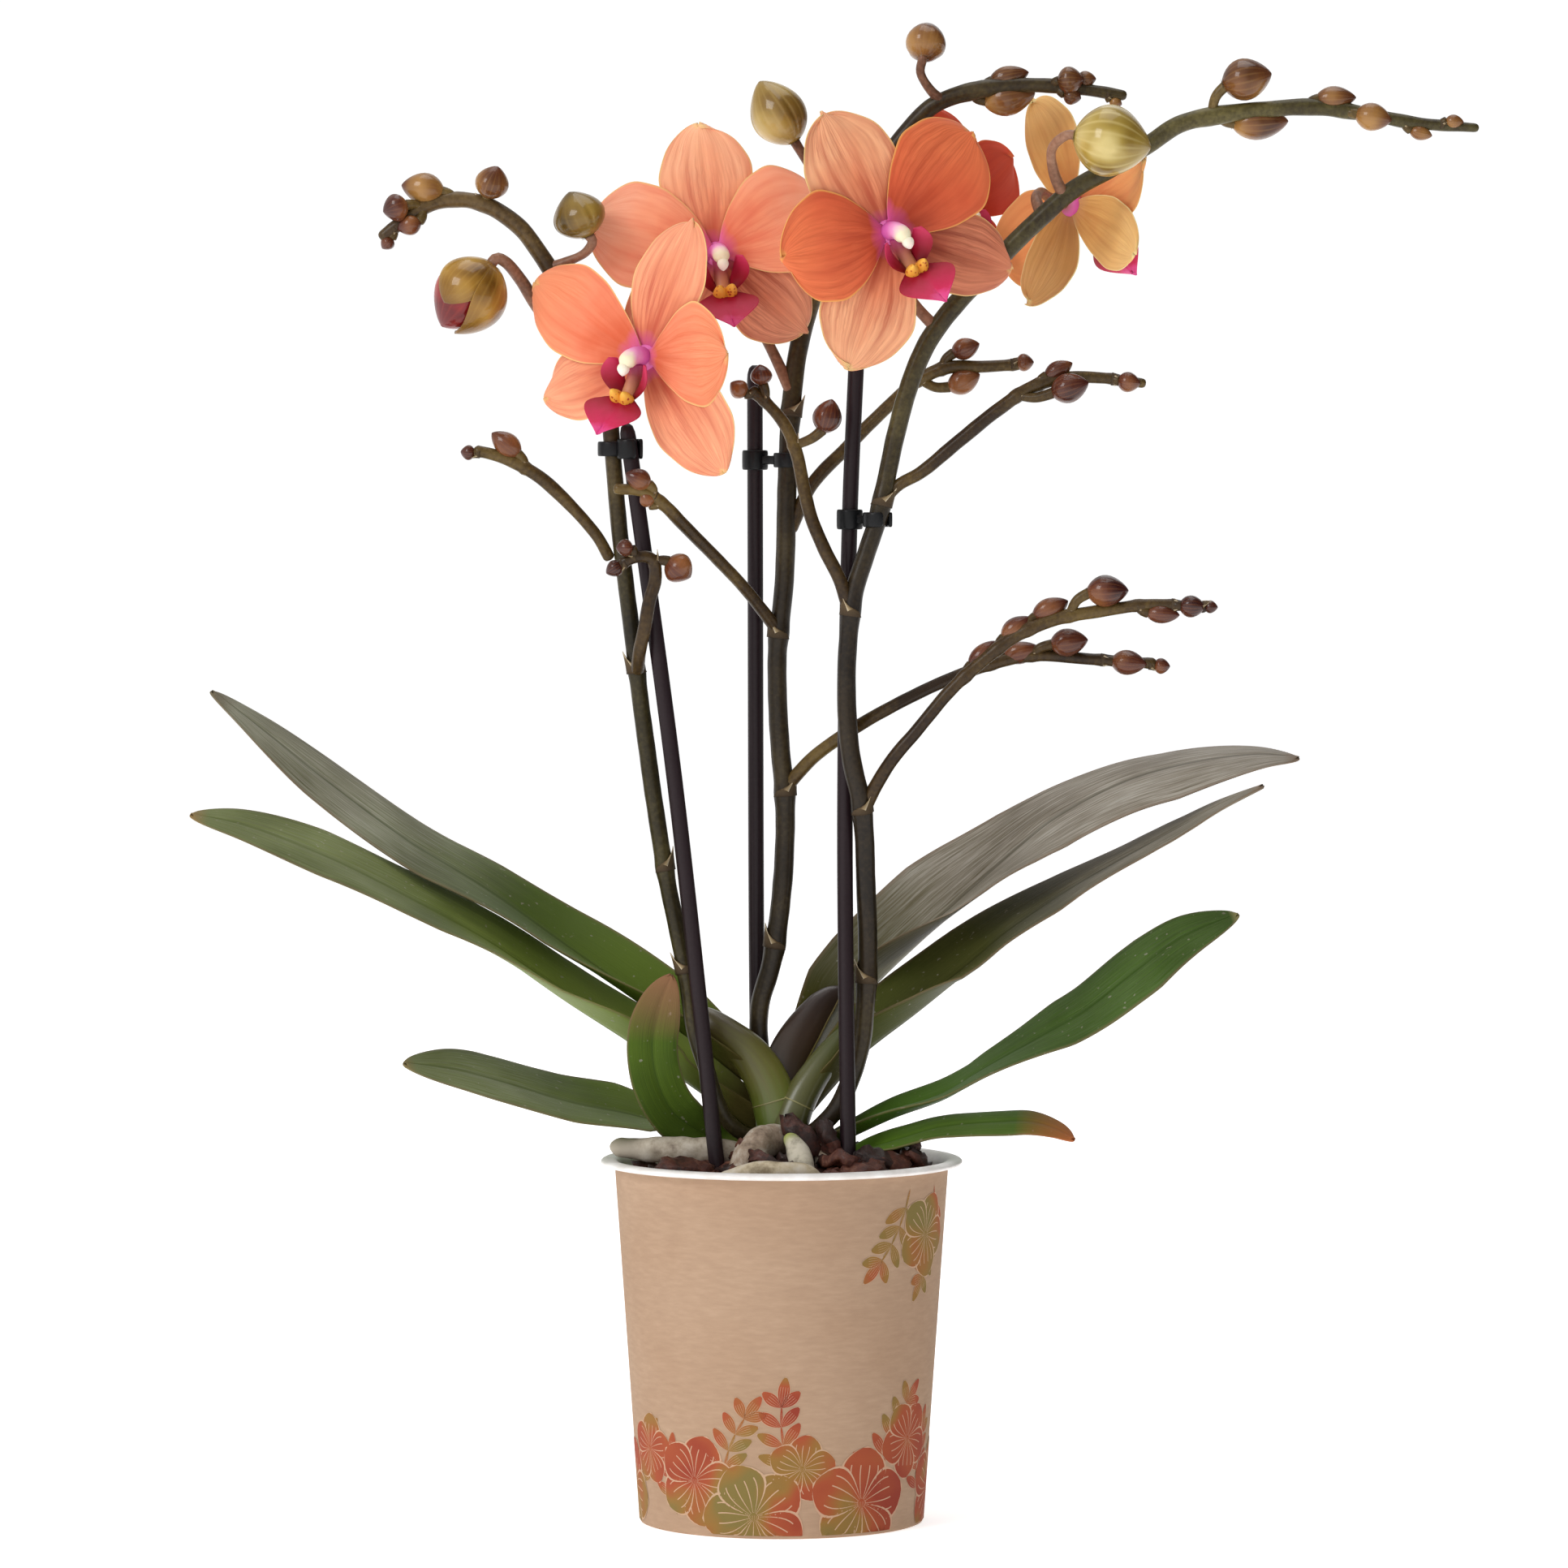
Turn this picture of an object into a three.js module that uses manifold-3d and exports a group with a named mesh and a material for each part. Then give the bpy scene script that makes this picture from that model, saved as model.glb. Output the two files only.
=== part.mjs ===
// A potted moth orchid, in millimetres, +Z up. The origin is the middle of the pot's underside,
// +X is to the right and +Y is to the back of the plant.
import * as THREE from 'three';
import { mergeVertices } from 'three/addons/utils/BufferGeometryUtils.js';
import Module from 'manifold-3d';

const wasm = await Module();
wasm.setup();

// Driving dimensions
const clearance = 0.3;
const pot = { height: 98.7, rim: 49, shoulder: 45.2, foot: 38.5, wall: 1.2, floor: 1.6, facets: 32 };
const liner = {
  top: 92, topRadius: 43.1, footRadius: 34, wall: 1, slotWidth: 4, slotHeight: 14, facets: 20,
};
const mulch = { edge: 92.6, mound: 98.6, radius: 41.6, chips: 15, chipLength: 15, seed: 11 };
const stake = { radius: 2.15, foot: 46 };
const spikeSides = 6;
const stepsPerPoint = 0.8;
const leafThickness = 1.7;
const tepalThickness = 0.9;
const clip = { wall: 1.1, stakeHeight: 6.4, spikeHeight: 4.2, bridge: 2.2 };

// The short stem in the middle of the plant, forked like a Y: [x, y, z, half width, half depth]
const crownSections = [
  [-0.5, 1, 84, 4.6, 4.4],
  [-0.5, 1.4, 97, 5, 4.8],
  [-0.6, 2, 103, 5.7, 5],
  [-1, 3, 110, 7.7, 5.2],
  [-1.4, 3.6, 117, 8.8, 4.8],
  [-1.2, 4.2, 122, 6.2, 4],
  [-1, 4.4, 125.5, 2.6, 2.4],
];

// Each leaf follows its keel outwards from inside the crown. The lists run evenly from base to
// tip: its width, its roll to the front and the lift of both halves from the keel, in degrees.
const leaves = {
  leaf_left_upper: {
    keel: [[-2, 4, 113], [-8, 5, 118.5], [-15, 7, 124], [-25, 11, 131.4], [-38, 15, 140.2],
      [-58, 20, 153.8], [-81, 22, 170], [-103, 24, 183.5], [-125, 26, 199.6], [-143, 27, 214],
      [-156, 27, 224]],
    widths: [10, 27, 32, 32, 28, 18], roll: [8, 12, 16, 18, 17, 16], fold: [58, 42, 16, 2, 0, 0],
  },
  leaf_left_lower: {
    keel: [[-3, 6, 103.5], [-9, 7.2, 107.4], [-14, 8, 111], [-21, 10, 116], [-29, 12, 121.5],
      [-40, 11, 129.5], [-58, 7, 141.5], [-80, 3, 157], [-102, -1, 169.5], [-123, -5, 180.3],
      [-145, -8, 189], [-159, -9, 192]],
    widths: [14, 26, 32, 34, 31, 22], roll: [5, 8, 16, 20, 21, 20], fold: [56, 42, 18, 8, 4, 0],
  },
  leaf_left_small: {
    keel: [[-3, 4, 98.6], [-10, 4, 100.2], [-17, 4.5, 102.6], [-23, 2, 106], [-30, -3, 112], [-34, -7, 121],
      [-35, -9, 131], [-33.2, -10, 140], [-29.8, -10, 148.8]],
    widths: [6, 10, 14, 14.5, 14, 11], roll: [20, 40, 66, 76, 80, 80], fold: [46, 36, 16, 10, 8, 6],
    above: [1, 0, 0.2],
  },
  leaf_left_short: {
    keel: [[-4, 6.5, 95], [-11, 13, 96.8], [-19, 15.5, 100.4], [-27, 14, 104.3], [-40, 7, 109],
      [-58, -5, 114], [-75, -14, 120], [-88, -20, 124], [-101, -24, 126]],
    widths: [7, 14, 27, 28, 25, 18], roll: [10, 14, 26, 28, 27, 26], fold: [44, 28, 12, 6, 4, 0],
  },
  leaf_right_upper: {
    keel: [[2, 5, 114], [7, 12.5, 121.5], [12, 18, 128.5], [19, 23, 137.3], [26, 25, 145.5],
      [41, 27, 159.5], [53.8, 28, 171], [66, 28, 181.8], [75, 28, 189], [92.5, 28, 198.4], [105, 28, 202.6],
      [120, 28, 205.6], [132, 28, 206.6], [141.5, 28, 205.8]],
    widths: [12, 34, 41, 43, 41, 26], roll: [6, 10, 22, 20, 15, 12], fold: [66, 58, 28, 2, -6, -4],
  },
  leaf_right_middle: {
    keel: [[3, 2, 105], [8, 2.8, 112], [14, 4.4, 119], [21, 7.4, 126.5], [37, 11.5, 138.6], [52, 12, 150.8],
      [61, 12, 158.4], [79, 11, 170.8], [96.6, 9, 181], [109.7, 8, 188.3], [118.5, 7, 193.4],
      [130.4, 5, 199.2]],
    widths: [8, 23, 32, 33, 29, 18], roll: [5, 6, 20, 15, 7, 7], fold: [62, 60, 20, 6, 3, 0],
  },
  leaf_right_lower: {
    keel: [[2, 1, 97], [8, 0, 99.5], [14, -1.5, 103], [21, -3, 106.6], [30, -4, 110.8], [44, -4, 116],
      [56, -5, 123.5], [69, -6, 131], [82.5, -6.5, 139], [95.5, -7, 149.3], [108.6, -8, 159],
      [123, -8, 165]],
    widths: [6, 13, 17, 25, 26, 17], roll: [8, 8, 14, 28, 31, 30], fold: [50, 30, 8, 3, 0, 0],
  },
  leaf_right_short: {
    keel: [[3, 1, 89.5], [8, -1.5, 91.5], [13, -5, 95.4], [21, -8.4, 100.3], [34, -10, 104.8],
      [43, -11, 107.5], [60, -13, 109.2], [67, -14, 109.3], [74, -15, 107.4], [78.5, -16, 105]],
    widths: [6, 9, 12, 13, 13, 11], roll: [8, 10, 22, 26, 24, 22], fold: [36, 26, 10, 4, 0, 0],
  },
};

// Thick grey roots that leave the crown or the bark: their route and their radius along it
const roots = {
  root_left: {
    route: [[-2, 1, 94], [-8, -5, 97.6], [-14, -7.8, 100.4], [-21, -8, 101.2], [-29, -7.8, 101.2],
      [-38, -6, 101.4], [-46.5, -4, 102.2]],
    radii: [2.8, 3.4, 3.9, 3.8, 3.1, 2.5],
  },
  root_middle: {
    route: [[-0.5, 1, 101], [-1, -6.2, 104], [-6, -12.5, 103], [-10, -18, 97.4], [-12, -21, 88]],
    radii: [3, 4.4, 4.7, 4.3, 3.6],
  },
  root_green: {
    route: [[6.4, -27, 88], [6, -25.5, 96.8], [4.4, -21.5, 102.2], [1.6, -16, 106.2]],
    radii: [2.9, 3.2, 3.1, 1.7],
  },
  root_front: {
    route: [[-19, -27, 88], [-15.5, -30, 94.6], [-9, -33, 97.6], [0, -34.5, 98.4], [8, -33.5, 96.6],
      [12, -31, 88]],
    radii: [2, 2.4, 2.6, 2.4, 2],
  },
  root_right: {
    route: [[3, -1.8, 94], [6, -5.6, 99.4], [7.8, -8.4, 102.6], [10, -12, 101.6], [12, -15.4, 96],
      [12.4, -17, 88]],
    radii: [2.2, 2.4, 2.5, 2.3],
  },
};

// Flower stems. A bud row is [share of the stem, side, reach, spread, lean, long, wide]: side is
// the angle about the stem from the front, 90 being its left; spread and lean are the angles of
// the bud's stalk and of its own axis from the stem. A joint is [height, side] of a papery scale.
const spikes = {
  spike_left: {
    route: [[-2, 1, 101], [-5, -1, 103.5], [-10.5, -3.5, 105.5], [-15, -5, 109.5], [-18, -6, 116],
      [-20.5, -6.4, 124], [-23.6, -7, 134], [-25.8, -7, 149], [-31.3, -6, 176.4], [-36.1, -6, 208.2],
      [-40, -6, 238.8], [-43.7, -6, 269.4], [-45.4, -6, 289.1], [-47, -5, 304.4], [-52, -4, 319.7],
      [-59.2, -4, 333.8], [-65.1, -4, 343.2], [-70.5, -4, 350.2], [-79.3, -4, 356.1],
      [-88, -4, 357.6], [-96.3, -5, 355.4], [-101, -6, 352.3], [-108, -6, 347.1]],
    radii: [2, 2.25, 2.3, 2.35, 2.25, 2.25, 2.3, 2.3, 1.5],
    buds: [[0.9, -70, 2, 100, 92, 9.4, 8.8], [0.925, -100, 3.6, 40, 11, 11.6, 8.4],
      [0.955, -60, 4.4, 44, 10, 7, 7.4], [0.955, 60, 4.2, 60, -10, 6.6, 5.3],
      [0.985, 90, 2.6, 45, 10, 4, 3.8]],
    joints: [[150, 90], [177.6, -90], [231, 90]],
    stalks: [
      { route: [[-48.5, -5, 310], [-45, -8, 314], [-38.2, -14.5, 316.4], [-34.6, -22.7, 315]],
        radii: [1.5, 1.2, 1.5] },
      { route: [[-53, -5, 321], [-58.6, -3.4, 322.3], [-64.6, -2.6, 327.4], [-70, -6.6, 335.8],
        [-74.2, -12.3, 340.8], [-76.4, -13.3, 341.6]],
        radii: [2, 1.8, 1.5] },
      { route: [[-63, -4, 339], [-58.4, -5.5, 340.6], [-52.6, -8, 343.4], [-50.8, -9.6, 346.4]],
        radii: [1.7, 1.2, 1.4] },
    ],
  },
  spike_middle: {
    route: [[-1, 6, 111], [-3.4, 11, 118], [-6, 13.4, 128], [-5.9, 13.4, 138.8], [-2.9, 13, 149.9],
      [-0.7, 12, 163.2], [0.7, 12, 178.7], [0.9, 12, 196.4], [-0.2, 12, 207.4], [-1.1, 12, 222.9],
      [-1.1, 12, 236.1], [0.7, 12, 253.8], [1.5, 12, 280.2], [2.6, 13.5, 302.2], [4.6, 15.5, 317.7],
      [8.2, 16.5, 330.9], [15.9, 17, 348.5], [24.7, 17, 363.9], [33.5, 16, 375.9], [41.2, 14, 383.6],
      [52.1, 13, 387.5], [65.3, 12, 389], [78.5, 12, 388.3], [93.5, 12, 386.1]],
    radii: [2.4, 2.7, 2.7, 2.6, 2.65, 2.6, 2.5, 2.3, 1.4],
    buds: [[0.875, -125, 5, 60, 4, 14.3, 9.4], [0.885, 130, 3, 50, 4, 11, 6],
      [0.94, 40, 2.5, 60, 11, 7.2, 7.4], [0.955, 100, 2.6, 60, 10, 5.4, 4.6],
      [0.945, -60, 2.6, 54, 13, 5, 4.8], [0.985, -90, 2, 70, 10, 3.6, 3.2]],
    joints: [[155.7, 90], [197, -90], [240, 90], [300, -90]],
    stalks: [
      { route: [[2.6, 13, 306], [-3, 15, 318], [-11.5, 15, 333], [-16.6, 12, 340], [-18.1, 7.1, 342.6]],
        radii: [1.7, 1.3, 1.6] },
      { route: [[15.5, 16.5, 348.8], [13.4, 15, 356], [9.5, 13.5, 364], [4.1, 12.3, 372.9]],
        radii: [1.6, 1.2, 1.4] },
      { route: [[17, 17, 350], [21, 24, 350], [28, 36, 352], [40, 43, 356.6], [45.6, 36.5, 355.4]],
        radii: [1.7, 1.3, 1.6] },
      { route: [[43.5, 13, 385], [40.6, 12, 387.4], [37.6, 11, 392.4], [38.2, 10, 396]],
        radii: [1.5, 1.2, 1.3], buds: [[1, 0, 0, 0, -50, 12, 10.6]] },
    ],
  },
  spike_right: {
    route: [[1.5, 1, 101], [4.8, 0, 103], [10.5, -3.4, 107.4], [15.3, -4.8, 113], [18.5, -5, 120],
      [21, -5, 128], [22.4, -5, 138], [23.3, -5, 155.4], [22.8, -6, 170.9], [22.3, -8, 186.4],
      [21.2, -10, 196.3], [18.6, -11, 208.4], [17.5, -11, 223.7], [17.9, -11, 239], [19.6, -11, 252.1],
      [22.9, -10.4, 262.9], [26, -10, 272.3], [28.2, -9.4, 282.6], [31, -9, 295.6], [34.7, -9, 308.7],
      [39.7, -9, 320], [47.3, -9, 330], [58.2, -9, 341.4], [69.1, -9, 352.2], [78.9, -9, 360.5],
      [88.7, -9, 365.9], [98.4, -9, 372.2], [107.1, -9, 377.7], [116.9, -9, 380], [130, -9, 381.6],
      [143.1, -9, 382.2], [156.1, -9, 380.5], [169.2, -9, 378.1], [187.1, -9, 376.6]],
    radii: [2.3, 2.65, 2.65, 2.6, 2.5, 2.5, 2.6, 2.5, 2.4, 2.1, 1.2],
    buds: [[0.82, 80, 9, 62, 3, 13.6, 11], [0.825, -130, 5, 50, 8, 15.4, 9], [0.885, 100, 3, 50, 2, 11, 6],
      [0.91, -20, 3, 30, 5, 10, 7.4], [0.95, -90, 2.6, 50, 6, 6.4, 4], [0.975, 60, 1.6, 60, 2, 5, 3.6]],
    joints: [[147.2, 90], [193.5, -90], [246.5, 90], [276, -90]],
    stalks: [
      { route: [[41.5, -9, 323], [36, -9.4, 329], [30.4, -13.5, 337.6], [26.6, -19.5, 345],
        [26.3, -24.9, 347.2]],
        radii: [1.7, 1.3, 1.6] },
      { route: [[70, -9, 353], [68.5, -5, 357.6], [70, 2, 359.8], [72.4, 10, 358.6], [76.5, 15.2, 357.3]],
        radii: [1.7, 1.3, 1.6] },
      { route: [[76, -9, 358], [73, -12.5, 364.5], [72.4, -18, 371], [76.4, -22, 374.3]],
        radii: [1.7, 1.3, 1.3] },
    ],
  },
};

// Side branches: the stem each one grows from, with routes and rows as above
const branches = [
  { of: 'spike_left',
    route: [[-46.1, -6, 260.7], [-49.8, -7, 267.3], [-57.4, -8, 276], [-65.1, -8, 283], [-72.7, -8, 287.3],
      [-79.2, -8, 289.5], [-82.9, -8, 290]],
    radii: [1.6, 1.6, 1.85, 1.75, 1.5],
    buds: [[0.7, -90, 3.6, 40, 10, 9.7, 6.2], [0.97, 90, 1, 30, 0, 4, 4]] },
  { of: 'spike_left',
    route: [[-38.9, -7, 230.5], [-38, -13, 237], [-36.6, -15.8, 243.2], [-35.5, -16.2, 249.6],
      [-33.8, -16.2, 256], [-34.6, -17, 261], [-38.7, -18, 261.8], [-43.4, -18, 259.6]],
    radii: [1.9, 1.8, 1.8, 1.7, 1.5],
    buds: [[0.76, -90, 3.6, 100, 150, 8, 8], [0.9, -60, 3, 100, 20, 4.6, 4.6],
      [0.97, 90, 0.6, 20, 0, 5, 4.4]] },
  { of: 'spike_middle',
    route: [[-0.9, 12, 241], [-9.4, 4, 252.2], [-18.2, -4, 261.8], [-25.7, -11, 269.5], [-31.5, -16, 275.6],
      [-36.5, -18, 279.1], [-45, -18, 280]],
    radii: [1.8, 1.65, 1.7, 1.75, 1.4],
    buds: [[0.84, -80, 3.4, 40, -10, 7.4, 5.6], [0.8, 90, 3, 60, -20, 4.6, 4]] },
  { of: 'spike_middle',
    route: [[1.2, 12, 198.6], [8.2, 8, 206.5], [16.9, 3, 213.2], [27.9, 0, 219.9], [41.1, 1, 226.5],
      [54.2, 2, 231.6], [67.4, 2, 234.7], [82.8, 2, 233.8], [101.4, 2, 232.5]],
    radii: [1.85, 1.75, 1.7, 1.7, 1.4],
    buds: [[0.87, -10, 2.4, 20, 6, 9.8, 6.6], [0.7, 60, 6, 30, 3, 10.4, 7.4],
      [0.6, 120, 4, 20, -6, 10.6, 5.8], [0.985, -90, 1, 30, 0, 4.6, 4.2]] },
  { of: 'spike_middle',
    route: [[2.2, 12.4, 268.1], [8.1, 12, 280.7], [16.9, 13, 290.1], [27.9, 12, 301.1], [36.7, 10, 308.8],
      [44.4, 9, 312.5], [54.3, 8, 312.8], [65, 8, 313.4]],
    radii: [1.85, 1.8, 1.75, 1.8, 1.5],
    buds: [[0.74, 90, 5, 40, 2, 8, 5.8], [0.66, -90, 8, 50, 8, 9.6, 6.6], [0.97, 60, 1, 30, 0, 5, 4.6]] },
  { of: 'spike_right',
    route: [[17.9, -11, 248.1], [15.7, -12, 255.3], [11.3, -13, 264.1], [8.1, -13, 271.7],
      [5.9, -13, 280.4], [4.1, -13, 289.1], [1.1, -13, 296.7], [-3.9, -13, 302.8], [-8.6, -13, 306.6]],
    radii: [1.85, 1.8, 1.8, 1.7, 1.5],
    buds: [[0.7, -90, 8.4, 84, 34, 9.4, 7.6], [0.92, -80, 4.4, 40, 40, 5.6, 5.8],
      [0.98, 70, 2, 60, 0, 5.4, 5]] },
  { of: 'spike_right',
    route: [[27.6, -9, 277], [31.6, -9, 281], [37.5, -9, 284.3], [47.3, -9, 292.4], [58.2, -9, 301.1],
      [67, -9, 307], [75.7, -9, 309.6], [86.6, -9, 309.6], [97.9, -9, 308.1]],
    radii: [1.6, 1.85, 1.85, 1.7, 1.3],
    buds: [[0.64, 100, 2.6, 30, 6, 8.4, 4.8], [0.56, -60, 9.4, 34, 20, 10.6, 7.8],
      [0.89, -20, 1.4, 40, 3, 6.4, 5.4]] },
  { of: 'spike_right',
    route: [[21.9, -8.6, 192.8], [25.1, -11, 199.6], [29.9, -13, 207.4], [36.4, -14, 215.1],
      [45.1, -15, 225.6], [53.8, -15, 233.6], [62.5, -15, 240.2], [73.4, -15, 244.9],
      [86.5, -15, 247.3], [99.5, -15, 248.9],
      [114.3, -15, 248]],
    radii: [1.9, 1.75, 1.75, 1.75, 1.3],
    buds: [[0.68, 80, 8, 44, -10, 11.4, 8.2], [0.58, 130, 4, 50, 0, 10.6, 6.2],
      [0.5, 140, 3, 40, 0, 9.6, 5.6], [0.4, 150, 3.4, 40, 2, 10, 5],
      [0.84, -90, 2.8, 50, 10, 9.2, 5], [0.92, 0, 1.8, 30, -3, 7.2, 5.8],
      [0.985, 60, 0.8, 30, 0, 3.8, 3.4]] },
];

// Large buds: the end on the stalk, the tip and the width
const largeBuds = {
  bud_opening: { base: [-77.6, -13.4, 340.2], tip: [-91, -15, 323.4], wide: 20 },
  bud_left: { base: [-51.8, -9.8, 347.4], tip: [-57, -11, 359.4], wide: 14.4 },
  bud_middle: { base: [3.8, 12.2, 373.4], tip: [-6, 12, 390], wide: 15.2 },
  bud_right: { base: [77.8, -22.6, 374.2], tip: [98.4, -23.6, 370.8], wide: 19.4 },
};

// Support sticks, from the bark up, and the height of the clip on each
const stakes = {
  stake_left: { route: [[-11.6, -15, stake.foot], [-17.3, -14, 97], [-28.8, -12, 201.9], [-40.6, -9, 289.1],
    [-41.7, -9, 297.4]], clipHeight: 290.6, spike: 'spike_left' },
  stake_middle: { route: [[-6, 21, stake.foot], [-6, 21, 100.3], [-6.7, 21, 136], [-7.3, 20, 313.3]],
    clipHeight: 287.5, spike: 'spike_middle' },
  stake_right: { route: [[18.3, -19, stake.foot], [17.9, -15.6, 101.2], [17.1, -5.4, 192.8],
    [18.4, -3.6, 272.3], [20.3, -3, 317.5]], clipHeight: 271.6, spike: 'spike_right' },
};

// Tepals of a bloom: angle clockwise from the upper sepal, length, width, height above the sepals,
// how much they narrow to the middle, how far out they are widest and how far they bend sideways
const tepals = {
  upper: { turn: 0, length: 36, width: 25, lift: 0, narrow: 0.24, peak: 1.1, bow: 0 },
  lowerRight: { turn: 131, length: 34, width: 24, lift: 0, narrow: 0.26, peak: 1.1, bow: 0 },
  lowerLeft: { turn: -131, length: 34, width: 24, lift: 0, narrow: 0.26, peak: 1.1, bow: 0 },
  petalRight: { turn: 64, length: 33, width: 31, lift: 1.7, narrow: 0.2, peak: 1.3, bow: 0 },
  petalLeft: { turn: -64, length: 33, width: 31, lift: 1.7, narrow: 0.2, peak: 1.3, bow: 0 },
};

// Blooms: centre, the way each one faces, the turn of its upper sepal in the picture plane, and
// where its own tepals differ from those above
const blooms = {
  bloom_left: {
    centre: [-36, -26, 315], facing: [-0.5, -0.86, 0], upright: 75, size: 1,
    own: {
      upper: { turn: 7, length: 38, width: 22 },
      lowerRight: { turn: 130, length: 37.5, bow: -1.5 },
      lowerLeft: { turn: -121, length: 34, width: 20.5 },
      petalRight: { turn: 74, length: 24.5, width: 28, peak: 1.7 },
      petalLeft: { turn: -73, length: 40, width: 25 },
    },
  },
  bloom_back: {
    centre: [-17.7, 4, 343.2], facing: [0.15, -0.98, 0.02], upright: 97, size: 0.97,
    own: {
      upper: { width: 27.3 },
      lowerRight: { turn: 137, length: 33, width: 25 },
      petalRight: { turn: 69 },
      petalLeft: { turn: -70, length: 36, width: 30 },
    },
  },
  bloom_front: {
    centre: [28, -28, 348.2], facing: [0.4, -0.92, 0], upright: 119, size: 0.99,
    own: {
      upper: { turn: -3, width: 28.5, bow: -1 },
      lowerRight: { turn: 131, length: 38.5, width: 23.5 },
      lowerLeft: { turn: -137, length: 37.5, width: 29 },
      petalRight: { turn: 70, length: 37 },
      petalLeft: { turn: -76, length: 31 },
    },
  },
  bloom_hidden: {
    centre: [47.4, 34, 355.6], facing: [0.62, -0.78, 0.1], upright: 100, size: 0.8,
    own: { lowerRight: { turn: 152, length: 26 }, petalRight: { turn: 63, width: 27 } },
  },
  bloom_right: {
    centre: [78.8, 17, 357], facing: [0.79, 0.6, -0.12], upright: 131, size: 0.95,
    own: {
      upper: { turn: 3, length: 36, width: 22 },
      lowerRight: { turn: 126, length: 31 },
      lowerLeft: { turn: -145, length: 36, width: 20 },
      petalRight: { turn: 87, length: 34, width: 30 },
      petalLeft: { turn: -99, width: 25.5 },
    },
  },
};

// Points and curves
const vector = (point) => new THREE.Vector3(...point);
const mix = (pair, share) => THREE.MathUtils.lerp(pair[0], pair[1], share);
const radians = THREE.MathUtils.degToRad;

function spline(route) {
  return new THREE.CatmullRomCurve3(route.map(vector), false, 'centripetal');
}

function valueAt(values, share) {
  const place = THREE.MathUtils.clamp(share, 0, 1) * (values.length - 1);
  const index = Math.min(Math.floor(place), values.length - 2);
  return mix([values[index], values[index + 1]], place - index);
}

// A repeatable stream of numbers from 0 to 1
function randomStream(seed) {
  let state = seed;
  return () => {
    state = (state * 1664525 + 1013904223) % 4294967296;
    return state / 4294967296;
  };
}

// The share of a rising curve at which it reaches a height
function shareAtHeight(curve, height) {
  let low = 0;
  let high = 1;
  for (let turn = 0; turn < 30; turn += 1) {
    const middle = (low + high) / 2;
    if (curve.getPointAt(middle).z < height) low = middle;
    else high = middle;
  }
  return low;
}

function pointAtHeight(route, height) {
  const curve = spline(route);
  return curve.getPointAt(shareAtHeight(curve, height));
}

// Geometry and solids
function closedGeometry(points, faces) {
  const across = new THREE.Vector3();
  let volume = 0;
  for (const [a, b, c] of faces) {
    volume += points[a].dot(across.crossVectors(points[b], points[c]));
  }
  const outward = volume < 0 ? faces.map(([a, b, c]) => [a, c, b]) : faces;
  const geometry = new THREE.BufferGeometry();
  const places = points.flatMap((point) => point.toArray());
  geometry.setAttribute('position', new THREE.Float32BufferAttribute(places, 3));
  geometry.setIndex(outward.flat());
  return geometry;
}

function solidOf(geometry) {
  const bare = new THREE.BufferGeometry();
  bare.setAttribute('position', geometry.getAttribute('position'));
  bare.setIndex(geometry.getIndex());
  const merged = mergeVertices(bare, 1e-3);
  return new wasm.Manifold(new wasm.Mesh({
    numProp: 3,
    vertProperties: merged.getAttribute('position').array,
    triVerts: new Uint32Array(merged.getIndex().array),
  }));
}

function geometryOf(solid) {
  const mesh = solid.getMesh();
  const geometry = new THREE.BufferGeometry();
  geometry.setAttribute('position', new THREE.BufferAttribute(mesh.vertProperties, 3));
  geometry.setIndex(new THREE.BufferAttribute(mesh.triVerts, 1));
  return geometry;
}

const join = (solids) => wasm.Manifold.union(solids);

const cut = (solid, tools) => solid.subtract(join(tools));

// The largest piece of a cut solid, without the scraps
function largest(solid) {
  const pieces = solid.decompose();
  return pieces.reduce((best, piece) => (piece.volume() > best.volume() ? piece : best));
}

// A closed skin over rings of points that all have the same count
function loft(rings) {
  const count = rings[0].length;
  const points = rings.flat();
  const faces = [];
  for (let ring = 0; ring < rings.length - 1; ring += 1) {
    for (let side = 0; side < count; side += 1) {
      const a = ring * count + side;
      const b = ring * count + (side + 1) % count;
      faces.push([a, b, b + count], [a, b + count, a + count]);
    }
  }
  for (const [start, turned] of [[0, true], [(rings.length - 1) * count, false]]) {
    for (let side = 1; side < count - 1; side += 1) {
      const face = [start, start + side, start + side + 1];
      faces.push(turned ? face.reverse() : face);
    }
  }
  return closedGeometry(points, faces);
}

function ringAround(centre, across, beside, radiusAcross, radiusBeside, sides) {
  return Array.from({ length: sides }, (_, side) => {
    const angle = (side / sides) * 2 * Math.PI;
    return centre.clone()
      .addScaledVector(across, radiusAcross * Math.cos(angle))
      .addScaledVector(beside, radiusBeside * Math.sin(angle));
  });
}

// A round stem along a route, with its radii spread evenly along its length
function stem({ route, radii }, sides, steps, extra = 0) {
  const curve = spline(route);
  const frames = curve.computeFrenetFrames(steps);
  const rings = [];
  for (let step = 0; step <= steps; step += 1) {
    const radius = valueAt(radii, step / steps) + extra;
    rings.push(ringAround(curve.getPointAt(step / steps), frames.normals[step], frames.binormals[step],
      radius, radius, sides));
  }
  return solidOf(loft(rings));
}

// Rings of an egg from its base to its tip, widest near the middle
function eggRings(base, tip, wide, sides, rings) {
  const axis = tip.clone().sub(base);
  const length = axis.length();
  axis.normalize();
  const across = new THREE.Vector3(0, 1, 0).cross(axis).normalize();
  const beside = axis.clone().cross(across);
  return Array.from({ length: rings }, (_, ring) => {
    const share = ring / (rings - 1);
    const swell = Math.max(Math.sin(Math.PI * share ** 0.86) ** 0.66, ring === 0 ? 0.3 : 0.16);
    const centre = base.clone().addScaledVector(axis, length * share);
    return ringAround(centre, across, beside, (wide / 2) * swell, (wide / 2) * swell, sides);
  });
}

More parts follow.
